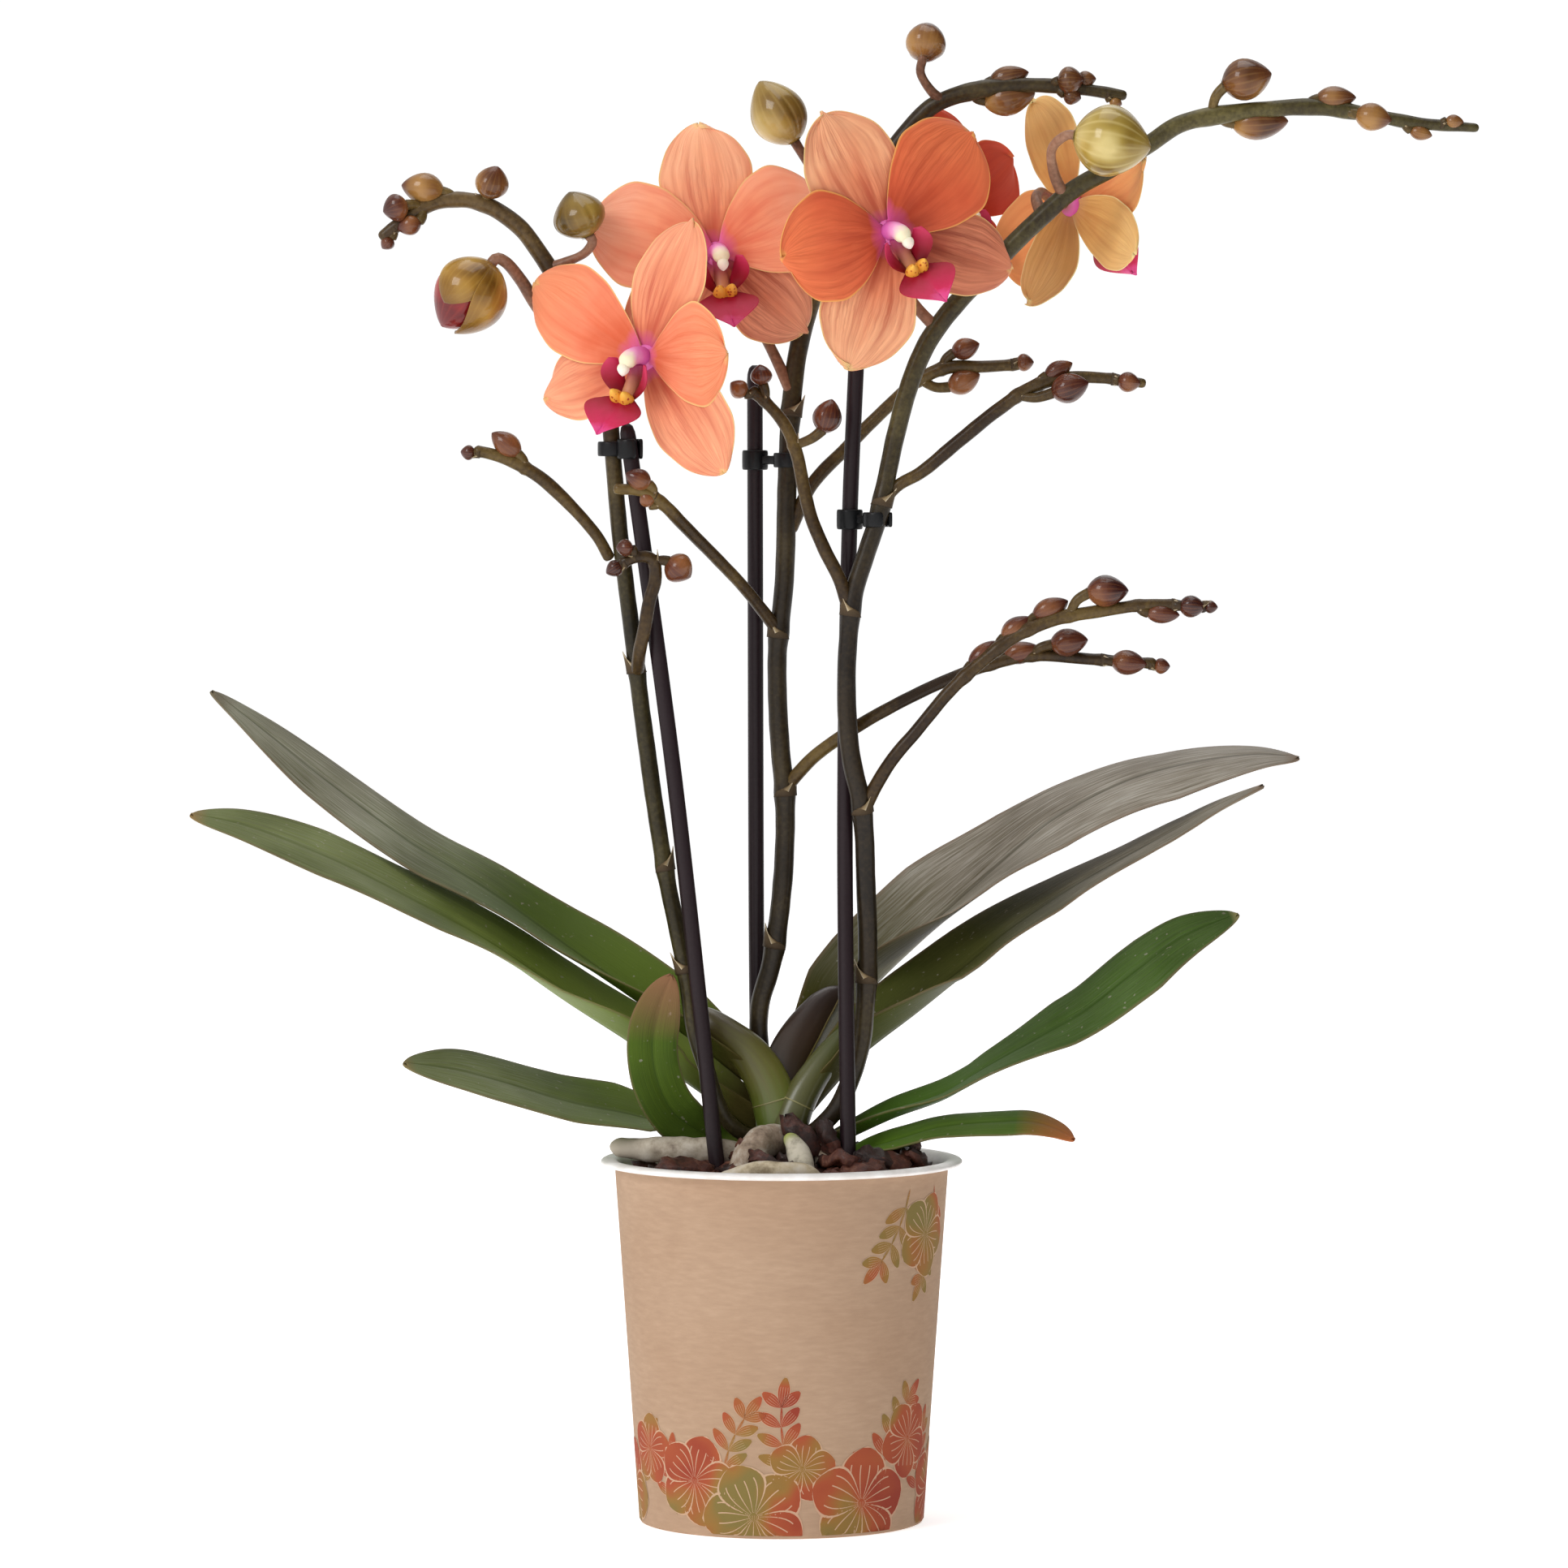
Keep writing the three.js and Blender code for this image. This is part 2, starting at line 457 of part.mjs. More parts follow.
// A thin blade over a mid-surface: both faces are split along the same diagonals
function blade(surface, thicknessAt, along, across, extra = 0) {
  const small = 1e-3;
  const points = [];
  for (const side of [1, -1]) {
    for (let row = 0; row <= along; row += 1) {
      for (let column = 0; column <= across; column += 1) {
        const u = row / along;
        const v = -1 + (2 * column) / across;
        const alongStep = surface(Math.min(u + small, 1), v).sub(surface(Math.max(u - small, 0), v));
        const acrossStep = surface(u, Math.min(v + small, 1)).sub(surface(u, Math.max(v - small, -1)));
        const normal = alongStep.cross(acrossStep).normalize();
        points.push(surface(u, v).addScaledVector(normal, side * (thicknessAt(u, v) / 2 + extra)));
      }
    }
  }
  const under = (along + 1) * (across + 1);
  const index = (row, column) => row * (across + 1) + column;
  const faces = [];
  for (let row = 0; row < along; row += 1) {
    for (let column = 0; column < across; column += 1) {
      const a = index(row, column);
      const b = index(row, column + 1);
      const c = index(row + 1, column + 1);
      const d = index(row + 1, column);
      faces.push([a, b, c], [a, c, d]);
      faces.push([under + a, under + c, under + b], [under + a, under + d, under + c]);
    }
  }
  const rim = [];
  for (let row = 0; row < along; row += 1) rim.push(index(row, 0));
  for (let column = 0; column < across; column += 1) rim.push(index(along, column));
  for (let row = along; row > 0; row -= 1) rim.push(index(row, across));
  for (let column = across; column > 0; column -= 1) rim.push(index(0, column));
  rim.forEach((a, place) => {
    const b = rim[(place + 1) % rim.length];
    faces.push([a, b, under + a], [b, under + b, under + a]);
  });
  return solidOf(closedGeometry(points, faces));
}

// The pot: a printed sleeve with a rolled rim, a floor and a thin liner that holds the plant
function potWall() {
  const { height, rim, shoulder, foot, wall } = pot;
  const under = height - 2.6;
  const profile = [
    [foot - wall, 0], [foot - 0.8, 0], [foot, 0.8], [shoulder, under], [rim - 0.9, under + 0.2],
    [rim, under + 1.3], [rim - 0.7, height - 0.3], [rim - 2.2, height], [shoulder - 0.6, height - 0.5],
    [shoulder - wall, under - 0.6], [foot - wall, 0],
  ];
  return new THREE.LatheGeometry(profile.map(([r, z]) => new THREE.Vector2(r, z)), pot.facets);
}

function potFloor() {
  const radius = pot.foot - pot.wall - clearance;
  const profile = [[0, 0], [radius, 0], [radius, pot.floor], [0, pot.floor]];
  return new THREE.LatheGeometry(profile.map(([r, z]) => new THREE.Vector2(r, z)), pot.facets);
}

function linerCup() {
  const { top, topRadius, footRadius, wall } = liner;
  const bottom = pot.floor + clearance;
  const profile = [
    [0, bottom], [footRadius, bottom], [topRadius, top], [topRadius - wall, top],
    [footRadius - wall, bottom + wall], [0, bottom + wall],
  ];
  const cup = new THREE.LatheGeometry(profile.map(([r, z]) => new THREE.Vector2(r, z)), liner.facets);
  cup.rotateX(Math.PI / 2);
  const slots = [0, 45, 90, 135].map((turn) => {
    const slot = new THREE.BoxGeometry(4 * footRadius, liner.slotWidth, liner.slotHeight);
    slot.translate(0, 0, bottom + 2 * wall + liner.slotHeight / 2);
    slot.rotateZ(radians(turn));
    return solidOf(slot);
  });
  return cut(solidOf(cup), slots);
}

// One chip of bark: a split block with skewed ends
function chip(random, at, turn) {
  const length = mulch.chipLength * (0.65 + 0.55 * random());
  const width = length * (0.45 + 0.2 * random());
  const depth = 3 + 1.8 * random();
  const shape = new THREE.BoxGeometry(length, width, depth);
  const corners = shape.getAttribute('position');
  for (let corner = 0; corner < corners.count; corner += 1) {
    const end = Math.sign(corners.getX(corner));
    const side = Math.sign(corners.getY(corner));
    const face = Math.sign(corners.getZ(corner));
    const skew = 1 + 0.18 * end * side - 0.14 * face;
    corners.setX(corner, corners.getX(corner) * skew);
    corners.setY(corner, corners.getY(corner) * (1 - 0.2 * end));
  }
  shape.rotateX(radians(50 * (random() - 0.5)));
  shape.rotateY(radians(46 * (random() - 0.5)));
  shape.rotateZ(turn);
  shape.translate(...at);
  return solidOf(shape);
}

// The bark: a plug that fills the liner, with chips strewn over it in a golden-angle spiral
function bark(tools) {
  const { edge, mound, radius } = mulch;
  const bottom = pot.floor + liner.wall + 2 * clearance;
  const foot = liner.footRadius - liner.wall - clearance;
  const profile = [
    [0, bottom], [foot, bottom], [liner.topRadius - liner.wall - 0.6, liner.top - 2], [radius, edge],
    [14, mound], [0, mound + 1],
  ];
  const plug = new THREE.LatheGeometry(profile.map(([r, z]) => new THREE.Vector2(r, z)), liner.facets);
  plug.rotateX(Math.PI / 2);
  const random = randomStream(mulch.seed);
  const pieces = [solidOf(plug)];
  for (let index = 0; index < mulch.chips; index += 1) {
    const share = (index + 0.5) / mulch.chips;
    const away = (radius - 6) * Math.sqrt(share);
    const turn = index * radians(137.5);
    const height = THREE.MathUtils.lerp(mound + 1.6, edge + 1.4, share) + 1.2 * random();
    const at = [away * Math.cos(turn), away * Math.sin(turn), height];
    pieces.push(chip(random, at, 2 * Math.PI * random()));
  }
  const heap = [[11, -15, 103.4, 0.5], [13, -21, 100.6, 2.4], [27, -14, 98.8, 0.3], [31, 8, 99.8, 2]];
  for (const [x, y, z, turn] of heap) pieces.push(chip(random, [x, y, z], turn));
  const inside = new THREE.CylinderGeometry(radius, radius, 200, liner.facets);
  inside.rotateX(Math.PI / 2);
  return largest(cut(join(pieces).intersect(solidOf(inside)), tools));
}

function crown(extra = 0) {
  const across = new THREE.Vector3(1, 0, 0);
  const beside = new THREE.Vector3(0, 1, 0);
  return solidOf(loft(crownSections.map(([x, y, z, halfWidth, halfDepth], index) => {
    const last = index === crownSections.length - 1;
    return ringAround(new THREE.Vector3(x, y, last ? z + extra : z), across, beside,
      halfWidth + extra, halfDepth + extra, 12);
  })));
}

// A leaf is rounded off over its last fifth
function tipShare(u) {
  const past = Math.max(u - 0.8, 0) / 0.2;
  return Math.max(Math.sqrt(1 - past * past), 0.1);
}

function leaf({ keel, widths, roll, fold, above = [0, 0, 1] }, extra = 0) {
  const curve = spline(keel);
  const up = vector(above);
  const front = new THREE.Vector3(0, -1, 0);
  const surface = (row, v) => {
    const u = 1 - (1 - row) ** 1.3;
    const tangent = curve.getTangentAt(u);
    const raised = up.clone().addScaledVector(tangent, -up.dot(tangent)).normalize();
    const near = raised.clone().cross(tangent);
    if (near.dot(front) < 0) near.negate();
    const tip = radians(valueAt(roll, u));
    const side = near.clone().multiplyScalar(Math.cos(tip)).addScaledVector(raised, -Math.sin(tip));
    const face = raised.clone().multiplyScalar(Math.cos(tip)).addScaledVector(near, Math.sin(tip));
    const lift = radians(valueAt(fold, u));
    const reach = (valueAt(widths, u) / 2) * tipShare(u) + extra;
    return curve.getPointAt(u)
      .addScaledVector(side, v * reach * Math.cos(lift))
      .addScaledVector(face, Math.abs(v) * reach * Math.sin(lift));
  };
  const thickness = (row, v) => leafThickness * (1 - 0.45 * Math.abs(v)) * (1 - 0.3 * row);
  return blade(surface, thickness, 13, 2, extra);
}

// The frame of a stem at a share of its length: along it, to its left and to the front
function stemFrame(curve, share) {
  const along = curve.getTangentAt(share);
  const left = new THREE.Vector3(-along.z, 0, along.x).normalize();
  const front = along.clone().cross(left).normalize();
  return { at: curve.getPointAt(share), along, left, front: front.y > 0 ? front.negate() : front };
}

// Away from the stem at an angle about it, 0 being the front and 90 its left
function sideways({ left, front }, side) {
  return left.clone().multiplyScalar(Math.sin(radians(side)))
    .addScaledVector(front, Math.cos(radians(side)));
}

// A bud and its stalk in one skin, five-sided
function smallBud(curve, [share, side, reach, spread, lean, long, wide]) {
  const frame = stemFrame(curve, share);
  const { at, along } = frame;
  const out = sideways(frame, side);
  const toward = (angle, distance) => along.clone()
    .multiplyScalar(distance * Math.cos(radians(angle)))
    .addScaledVector(out, distance * Math.sin(radians(angle)));
  const base = at.clone().add(toward(spread, reach));
  const rings = eggRings(base, base.clone().add(toward(lean, long)), wide, 5, wide > 5 ? 4 : 3);
  if (reach < 2.5) return solidOf(loft(rings));
  const axis = base.clone().sub(at).normalize();
  const across = new THREE.Vector3(0, 1, 0).cross(axis).normalize();
  return solidOf(loft([ringAround(at, across, axis.clone().cross(across), 0.9, 0.9, 5), ...rings]));
}

// A papery scale at a joint of the stem: a three-sided point that stands off on one side
function scale(curve, radii, [height, side]) {
  const share = shareAtHeight(curve, height);
  const radius = valueAt(radii, share);
  const frame = stemFrame(curve, share);
  const { at, along } = frame;
  const out = sideways(frame, side);
  const beside = along.clone().cross(out);
  const rings = [[-1.8, radius * 0.9, radius * 0.3], [1.4, radius, radius * 0.6], [5.4, 0.4, radius + 0.8]];
  return solidOf(loft(rings.map(([rise, size, shift]) => ringAround(
    at.clone().addScaledVector(along, rise).addScaledVector(out, shift), out, beside, size, size, 3))));
}

function sprig({ route, radii, buds = [] }, sides, steps) {
  const curve = spline(route);
  return [stem({ route, radii }, sides, steps), ...buds.map((row) => smallBud(curve, row))];
}

const spikeSteps = (route) => Math.round(route.length * stepsPerPoint);

function spike(name) {
  const { route, radii, buds, joints, stalks } = spikes[name];
  const curve = spline(route);
  const pieces = [...joints.map((joint) => scale(curve, radii, joint)),
    ...sprig({ route, radii, buds }, spikeSides, spikeSteps(route))];
  for (const stalk of stalks) pieces.push(...sprig(stalk, 5, 4));
  for (const branch of branches.filter(({ of }) => of === name)) {
    pieces.push(...sprig(branch, 5, branch.route.length - 1));
  }
  return join(pieces);
}

function stakeRod({ route }, extra = 0) {
  const section = new THREE.Shape();
  section.absarc(0, 0, stake.radius + extra, 0, 2 * Math.PI);
  return new THREE.ExtrudeGeometry(section, {
    curveSegments: 4,
    steps: 6,
    bevelEnabled: false,
    extrudePath: spline(route),
  });
}

// A snap clip: one collar round the stick, one round the flower stem and a bridge between them
function clipAround({ route, clipHeight, spike: held }, tools) {
  const rod = pointAtHeight(route, clipHeight);
  const flower = pointAtHeight(spikes[held].route, clipHeight);
  const collar = (at, radius, height) => {
    const ring = new THREE.CylinderGeometry(radius, radius, height, 10);
    ring.rotateX(Math.PI / 2);
    ring.translate(at.x, at.y, clipHeight);
    return solidOf(ring);
  };
  const span = Math.hypot(flower.x - rod.x, flower.y - rod.y);
  const bar = new THREE.BoxGeometry(span, clip.bridge, clip.spikeHeight - 1);
  bar.rotateZ(Math.atan2(flower.y - rod.y, flower.x - rod.x));
  bar.translate((flower.x + rod.x) / 2, (flower.y + rod.y) / 2, clipHeight);
  const body = join([
    collar(rod, stake.radius + clearance + clip.wall, clip.stakeHeight),
    collar(flower, 2.6 + clearance + clip.wall, clip.spikeHeight),
    solidOf(bar),
  ]);
  return largest(cut(body, tools));
}

// Blooms: X to the right, Y to the upper sepal and Z out of the face
function bloomFrame({ centre, facing, upright, size }) {
  const out = vector(facing).normalize();
  const picture = new THREE.Vector3(Math.cos(radians(upright)), 0, Math.sin(radians(upright)));
  const top = picture.addScaledVector(out, -picture.dot(out)).normalize();
  const right = top.clone().cross(out);
  const frame = new THREE.Matrix4().makeBasis(right, top, out).scale(new THREE.Vector3(size, size, size));
  return frame.setPosition(vector(centre));
}

function tepalSwell(u, narrow, peak) {
  return Math.max(Math.sin(Math.PI * u ** peak) ** 0.62 * (1 - narrow * (1 - u) ** 2), 0.16);
}

function tepal({ turn, length, width, lift, narrow, peak, bow }) {
  const outward = new THREE.Vector3(Math.sin(radians(turn)), Math.cos(radians(turn)), 0);
  const sideways = new THREE.Vector3(Math.cos(radians(turn)), -Math.sin(radians(turn)), 0);
  const surface = (u, v) => {
    const reach = (width / 2) * tepalSwell(u, narrow, peak) * v + bow * Math.sin(Math.PI * u);
    const rise = lift + 2.2 * Math.sin(Math.PI * u * 0.8) - 3.2 * u * u - 0.5 * v * v;
    return outward.clone().multiplyScalar(1.2 + (length - 1.2) * u)
      .addScaledVector(sideways, reach)
      .add(new THREE.Vector3(0, 0, rise));
  };
  return blade(surface, () => tepalThickness, 6, 2);
}

function bloomTepals(own) {
  const hub = new THREE.SphereGeometry(3.4, 5, 3);
  hub.scale(1, 1, 0.8);
  const blades = Object.keys(tepals).map((name) => tepal({ ...tepals[name], ...own[name] }));
  return join([solidOf(hub), ...blades]);
}

// The column: a short club that stands out over the lip
function column() {
  const sections = [[0.4, 3.2, 1.9], [0.9, 5.6, 2], [1.2, 8.6, 2.5], [0.4, 11.2, 1.4]];
  const rings = sections.map(([y, z, size]) => ringAround(new THREE.Vector3(0, y, z),
    new THREE.Vector3(1, 0, 0), new THREE.Vector3(0, 1, 0), size, size * 0.85, 8));
  return solidOf(loft(rings));
}

// The lip: a claw from the foot of the column to the callus, two upright side lobes and a pointed
// middle lobe that stands out to the front and down
function lip() {
  const middle = (u, v) => {
    const half = (1.4 + 3.9 * Math.sin(Math.PI * Math.min(u * 0.86 + 0.06, 1)) ** 1.1) * v;
    return new THREE.Vector3(half, -9.6 - 8.4 * u, 5 + 15.6 * u - 1.6 * u * u + 1.4 * v * v * (1 - u));
  };
  const sideLobe = (side) => (u, v) => {
    const half = 2.9 * v * Math.sin(Math.PI * (0.22 + 0.66 * u));
    return new THREE.Vector3(side * (1.1 + 3.4 * u) + 0.8 * half, -9.6 + 6.6 * u,
      5.4 + 3.4 * u + 0.5 * side * half);
  };
  const callus = new THREE.SphereGeometry(2, 5, 4);
  callus.translate(0, -10, 6);
  return join([
    solidOf(callus),
    stem({ route: [[0, -1.5, 4.4], [0, -5, 4.4], [0, -9.6, 5.2]], radii: [1, 1.3] }, 4, 2),
    blade(middle, () => 1, 4, 2),
    blade(sideLobe(1), () => 0.9, 2, 2),
    blade(sideLobe(-1), () => 0.9, 2, 2),
  ]);
}

// Colours and finishes
const finish = (color, roughness) => new THREE.MeshStandardMaterial({ color, roughness });
const finishes = {
  paper: finish('#c9a07c', 0.8),
  card: finish('#e6ddd6', 0.7),
  plastic: finish('#b8bcb4', 0.4),
  bark: finish('#5a2f20', 0.95),
  root: finish('#c9c2b5', 0.8),
  crown: finish('#6c7d36', 0.5),
  leaf: finish('#4d6b2b', 0.45),
  stalk: finish('#4a4030', 0.5),
  bud: finish('#a8973e', 0.45),
  stick: finish('#2a1f24', 0.45),
  clip: finish('#1e1e20', 0.4),
  petal: finish('#f79b73', 0.6),
  lip: finish('#c01f55', 0.5),
  column: finish('#f4e9dd', 0.5),
};

const orchid = new THREE.Group();

function add(name, shape, material) {
  const geometry = shape.isBufferGeometry ? shape : geometryOf(shape);
  const mesh = new THREE.Mesh(geometry, material);
  mesh.name = name;
  orchid.add(mesh);
  return mesh;
}

// The pot stands with its turning axis upright
add('pot_wall', potWall(), finishes.paper).rotation.x = Math.PI / 2;
add('pot_floor', potFloor(), finishes.card).rotation.x = Math.PI / 2;
add('grow_pot', linerCup(), finishes.plastic);

// What grows from the crown starts inside it and is trimmed a hair off its skin
const crownRoom = crown(clearance);
const rods = Object.values(stakes).map((rod) => solidOf(stakeRod(rod)));
const rodRoom = Object.values(stakes).map((rod) => solidOf(stakeRod(rod, clearance)));
const rootStem = (root, extra) => stem(root, 6, 6, extra);
const rootsThrough = Object.values(roots).map((root) => rootStem(root, clearance));
const lowLeaves = ['leaf_right_short', 'leaf_right_lower', 'leaf_left_short', 'leaf_left_small']
  .map((name) => leaf(leaves[name], clearance));
add('bark', bark([crownRoom, ...rodRoom, ...rootsThrough, ...lowLeaves]), finishes.bark);
add('crown', crown(), finishes.crown);
for (const [name, root] of Object.entries(roots)) {
  add(name, largest(cut(rootStem(root), [crownRoom])), finishes.root);
}
for (const [name, shape] of Object.entries(leaves)) {
  add(name, largest(cut(leaf(shape), [crownRoom])), finishes.leaf);
}

for (const name of Object.keys(spikes)) {
  add(name, largest(cut(spike(name), [crownRoom])), finishes.stalk);
}
Object.keys(stakes).forEach((name, index) => {
  const rod = stakes[name];
  const flower = spikes[rod.spike];
  const held = stem(flower, spikeSides, spikeSteps(flower.route), clearance);
  add(name, rods[index], finishes.stick);
  add(name.replace('stake', 'clip'), clipAround(rod, [rodRoom[index], held]), finishes.clip);
});

for (const [name, { base, tip, wide }] of Object.entries(largeBuds)) {
  add(name, solidOf(loft(eggRings(vector(base), vector(tip), wide, 8, 6))), finishes.bud);
}

const columnGeometry = geometryOf(column());
const lipGeometry = geometryOf(lip());
for (const [name, place] of Object.entries(blooms)) {
  const frame = bloomFrame(place);
  add(`${name}_tepals`, bloomTepals(place.own), finishes.petal).applyMatrix4(frame);
  add(`${name}_column`, columnGeometry, finishes.column).applyMatrix4(frame);
  add(`${name}_lip`, lipGeometry, finishes.lip).applyMatrix4(frame);
}

export default orchid;
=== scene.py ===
# A potted moth orchid: the looks of its plant, bark and printed paper pot, in one frame with the CAD.
# Lengths here are in millimetres and turn to metres where a mesh is made. The origin is the middle
# of the pot's underside, +X is to the right, +Y to the back and +Z up.
import functools
import math
import random

import bmesh
import bpy
import numpy as np
from mathutils import Euler, Matrix, Vector, noise


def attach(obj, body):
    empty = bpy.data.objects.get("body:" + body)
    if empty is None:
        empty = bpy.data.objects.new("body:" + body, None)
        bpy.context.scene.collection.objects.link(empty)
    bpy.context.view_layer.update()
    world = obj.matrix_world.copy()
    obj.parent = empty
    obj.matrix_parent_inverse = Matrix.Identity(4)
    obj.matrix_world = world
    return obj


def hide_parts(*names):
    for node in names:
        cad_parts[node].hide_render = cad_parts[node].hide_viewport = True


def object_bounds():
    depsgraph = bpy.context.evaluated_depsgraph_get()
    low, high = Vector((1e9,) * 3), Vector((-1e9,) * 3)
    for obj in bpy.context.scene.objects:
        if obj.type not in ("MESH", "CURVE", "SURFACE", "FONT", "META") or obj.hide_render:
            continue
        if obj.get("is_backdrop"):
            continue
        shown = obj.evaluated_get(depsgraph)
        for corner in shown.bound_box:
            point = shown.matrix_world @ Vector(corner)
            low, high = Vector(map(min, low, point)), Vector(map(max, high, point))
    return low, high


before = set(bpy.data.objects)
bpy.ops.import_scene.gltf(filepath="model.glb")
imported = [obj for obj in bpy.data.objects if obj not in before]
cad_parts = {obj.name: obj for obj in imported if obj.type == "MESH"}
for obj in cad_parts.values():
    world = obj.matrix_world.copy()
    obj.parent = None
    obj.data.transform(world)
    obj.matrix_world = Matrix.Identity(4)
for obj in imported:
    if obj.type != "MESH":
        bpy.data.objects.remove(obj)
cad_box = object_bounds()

MM = 0.001
RANDOM = random.Random(7)

# Routes of the plant's parts, the same as those of its solids. A bud row is (share of the stem,
# side, reach, spread, lean, long, wide), with its angles in degrees, and a joint is (height, side).
LEAVES = {
    "leaf_left_upper": {
        "keel": ((-2, 4, 113), (-8, 5, 118.5), (-15, 7, 124), (-25, 11, 131.4), (-38, 15, 140.2),
            (-58, 20, 153.8), (-81, 22, 170), (-103, 24, 183.5), (-125, 26, 199.6), (-143, 27, 214),
            (-156, 27, 224)),
        "widths": (10, 27, 32, 32, 28, 18), "roll": (8, 12, 16, 18, 17, 16),
        "fold": (58, 42, 16, 2, 0, 0),
    },
    "leaf_left_lower": {
        "keel": ((-3, 6, 103.5), (-9, 7.2, 107.4), (-14, 8, 111), (-21, 10, 116), (-29, 12, 121.5),
            (-40, 11, 129.5), (-58, 7, 141.5), (-80, 3, 157), (-102, -1, 169.5), (-123, -5, 180.3),
            (-145, -8, 189), (-159, -9, 192)),
        "widths": (14, 26, 32, 34, 31, 22), "roll": (5, 8, 16, 20, 21, 20),
        "fold": (56, 42, 18, 8, 4, 0),
    },
    "leaf_left_small": {
        "keel": ((-3, 4, 98.6), (-10, 4, 100.2), (-17, 4.5, 102.6), (-23, 2, 106), (-30, -3, 112),
            (-34, -7, 121), (-35, -9, 131), (-33.2, -10, 140), (-29.8, -10, 148.8)),
        "widths": (6, 10, 14, 14.5, 14, 11), "roll": (20, 40, 66, 76, 80, 80),
        "fold": (46, 36, 16, 10, 8, 6), "above": (1, 0, 0.2),
    },
    "leaf_left_short": {
        "keel": ((-4, 6.5, 95), (-11, 13, 96.8), (-19, 15.5, 100.4), (-27, 14, 104.3), (-40, 7, 109),
            (-58, -5, 114), (-75, -14, 120), (-88, -20, 124), (-101, -24, 126)),
        "widths": (7, 14, 27, 28, 25, 18), "roll": (10, 14, 26, 28, 27, 26),
        "fold": (44, 28, 12, 6, 4, 0),
    },
    "leaf_right_upper": {
        "keel": ((2, 5, 114), (7, 12.5, 121.5), (12, 18, 128.5), (19, 23, 137.3), (26, 25, 145.5),
            (41, 27, 159.5), (53.8, 28, 171), (66, 28, 181.8), (75, 28, 189), (92.5, 28, 198.4),
            (105, 28, 202.6), (120, 28, 205.6), (132, 28, 206.6), (141.5, 28, 205.8)),
        "widths": (12, 34, 41, 43, 41, 26), "roll": (6, 10, 22, 20, 15, 12),
        "fold": (66, 58, 28, 2, -6, -4),
    },
    "leaf_right_middle": {
        "keel": ((3, 2, 105), (8, 2.8, 112), (14, 4.4, 119), (21, 7.4, 126.5), (37, 11.5, 138.6),
            (52, 12, 150.8), (61, 12, 158.4), (79, 11, 170.8), (96.6, 9, 181), (109.7, 8, 188.3),
            (118.5, 7, 193.4), (130.4, 5, 199.2)),
        "widths": (8, 23, 32, 33, 29, 18), "roll": (5, 6, 20, 15, 7, 7),
        "fold": (62, 60, 20, 6, 3, 0),
    },
    "leaf_right_lower": {
        "keel": ((2, 1, 97), (8, 0, 99.5), (14, -1.5, 103), (21, -3, 106.6), (30, -4, 110.8),
            (44, -4, 116), (56, -5, 123.5), (69, -6, 131), (82.5, -6.5, 139), (95.5, -7, 149.3),
            (108.6, -8, 159), (123, -8, 165)),
        "widths": (6, 13, 17, 25, 26, 17), "roll": (8, 8, 14, 28, 31, 30),
        "fold": (50, 30, 8, 3, 0, 0),
    },
    "leaf_right_short": {
        "keel": ((3, 1, 89.5), (8, -1.5, 91.5), (13, -5, 95.4), (21, -8.4, 100.3), (34, -10, 104.8),
            (43, -11, 107.5), (60, -13, 109.2), (67, -14, 109.3), (74, -15, 107.4), (78.5, -16, 105)),
        "widths": (6, 9, 12, 13, 13, 11), "roll": (8, 10, 22, 26, 24, 22),
        "fold": (36, 26, 10, 4, 0, 0),
    },
}

ROOTS = {
    "root_left": {
        "route": ((-2, 1, 94), (-8, -5, 97.6), (-14, -7.8, 100.4), (-21, -8, 101.2), (-29, -7.8, 101.2),
            (-38, -6, 101.4), (-46.5, -4, 102.2)),
        "radii": (2.8, 3.4, 3.9, 3.8, 3.1, 2.5),
    },
    "root_middle": {
        "route": ((-0.5, 1, 101), (-1, -6.2, 104), (-6, -12.5, 103), (-10, -18, 97.4), (-12, -21, 88)),
        "radii": (3, 4.4, 4.7, 4.3, 3.6),
    },
    "root_green": {
        "route": ((6.4, -27, 88), (6, -25.5, 96.8), (4.4, -21.5, 102.2), (1.6, -16, 106.2)),
        "radii": (2.9, 3.2, 3.1, 1.7),
    },
    "root_front": {
        "route": ((-19, -27, 88), (-15.5, -30, 94.6), (-9, -33, 97.6), (0, -34.5, 98.4),
            (8, -33.5, 96.6), (12, -31, 88)),
        "radii": (2, 2.4, 2.6, 2.4, 2),
    },
    "root_right": {
        "route": ((3, -1.8, 94), (6, -5.6, 99.4), (7.8, -8.4, 102.6), (10, -12, 101.6), (12, -15.4, 96),
            (12.4, -17, 88)),
        "radii": (2.2, 2.4, 2.5, 2.3),
    },
}

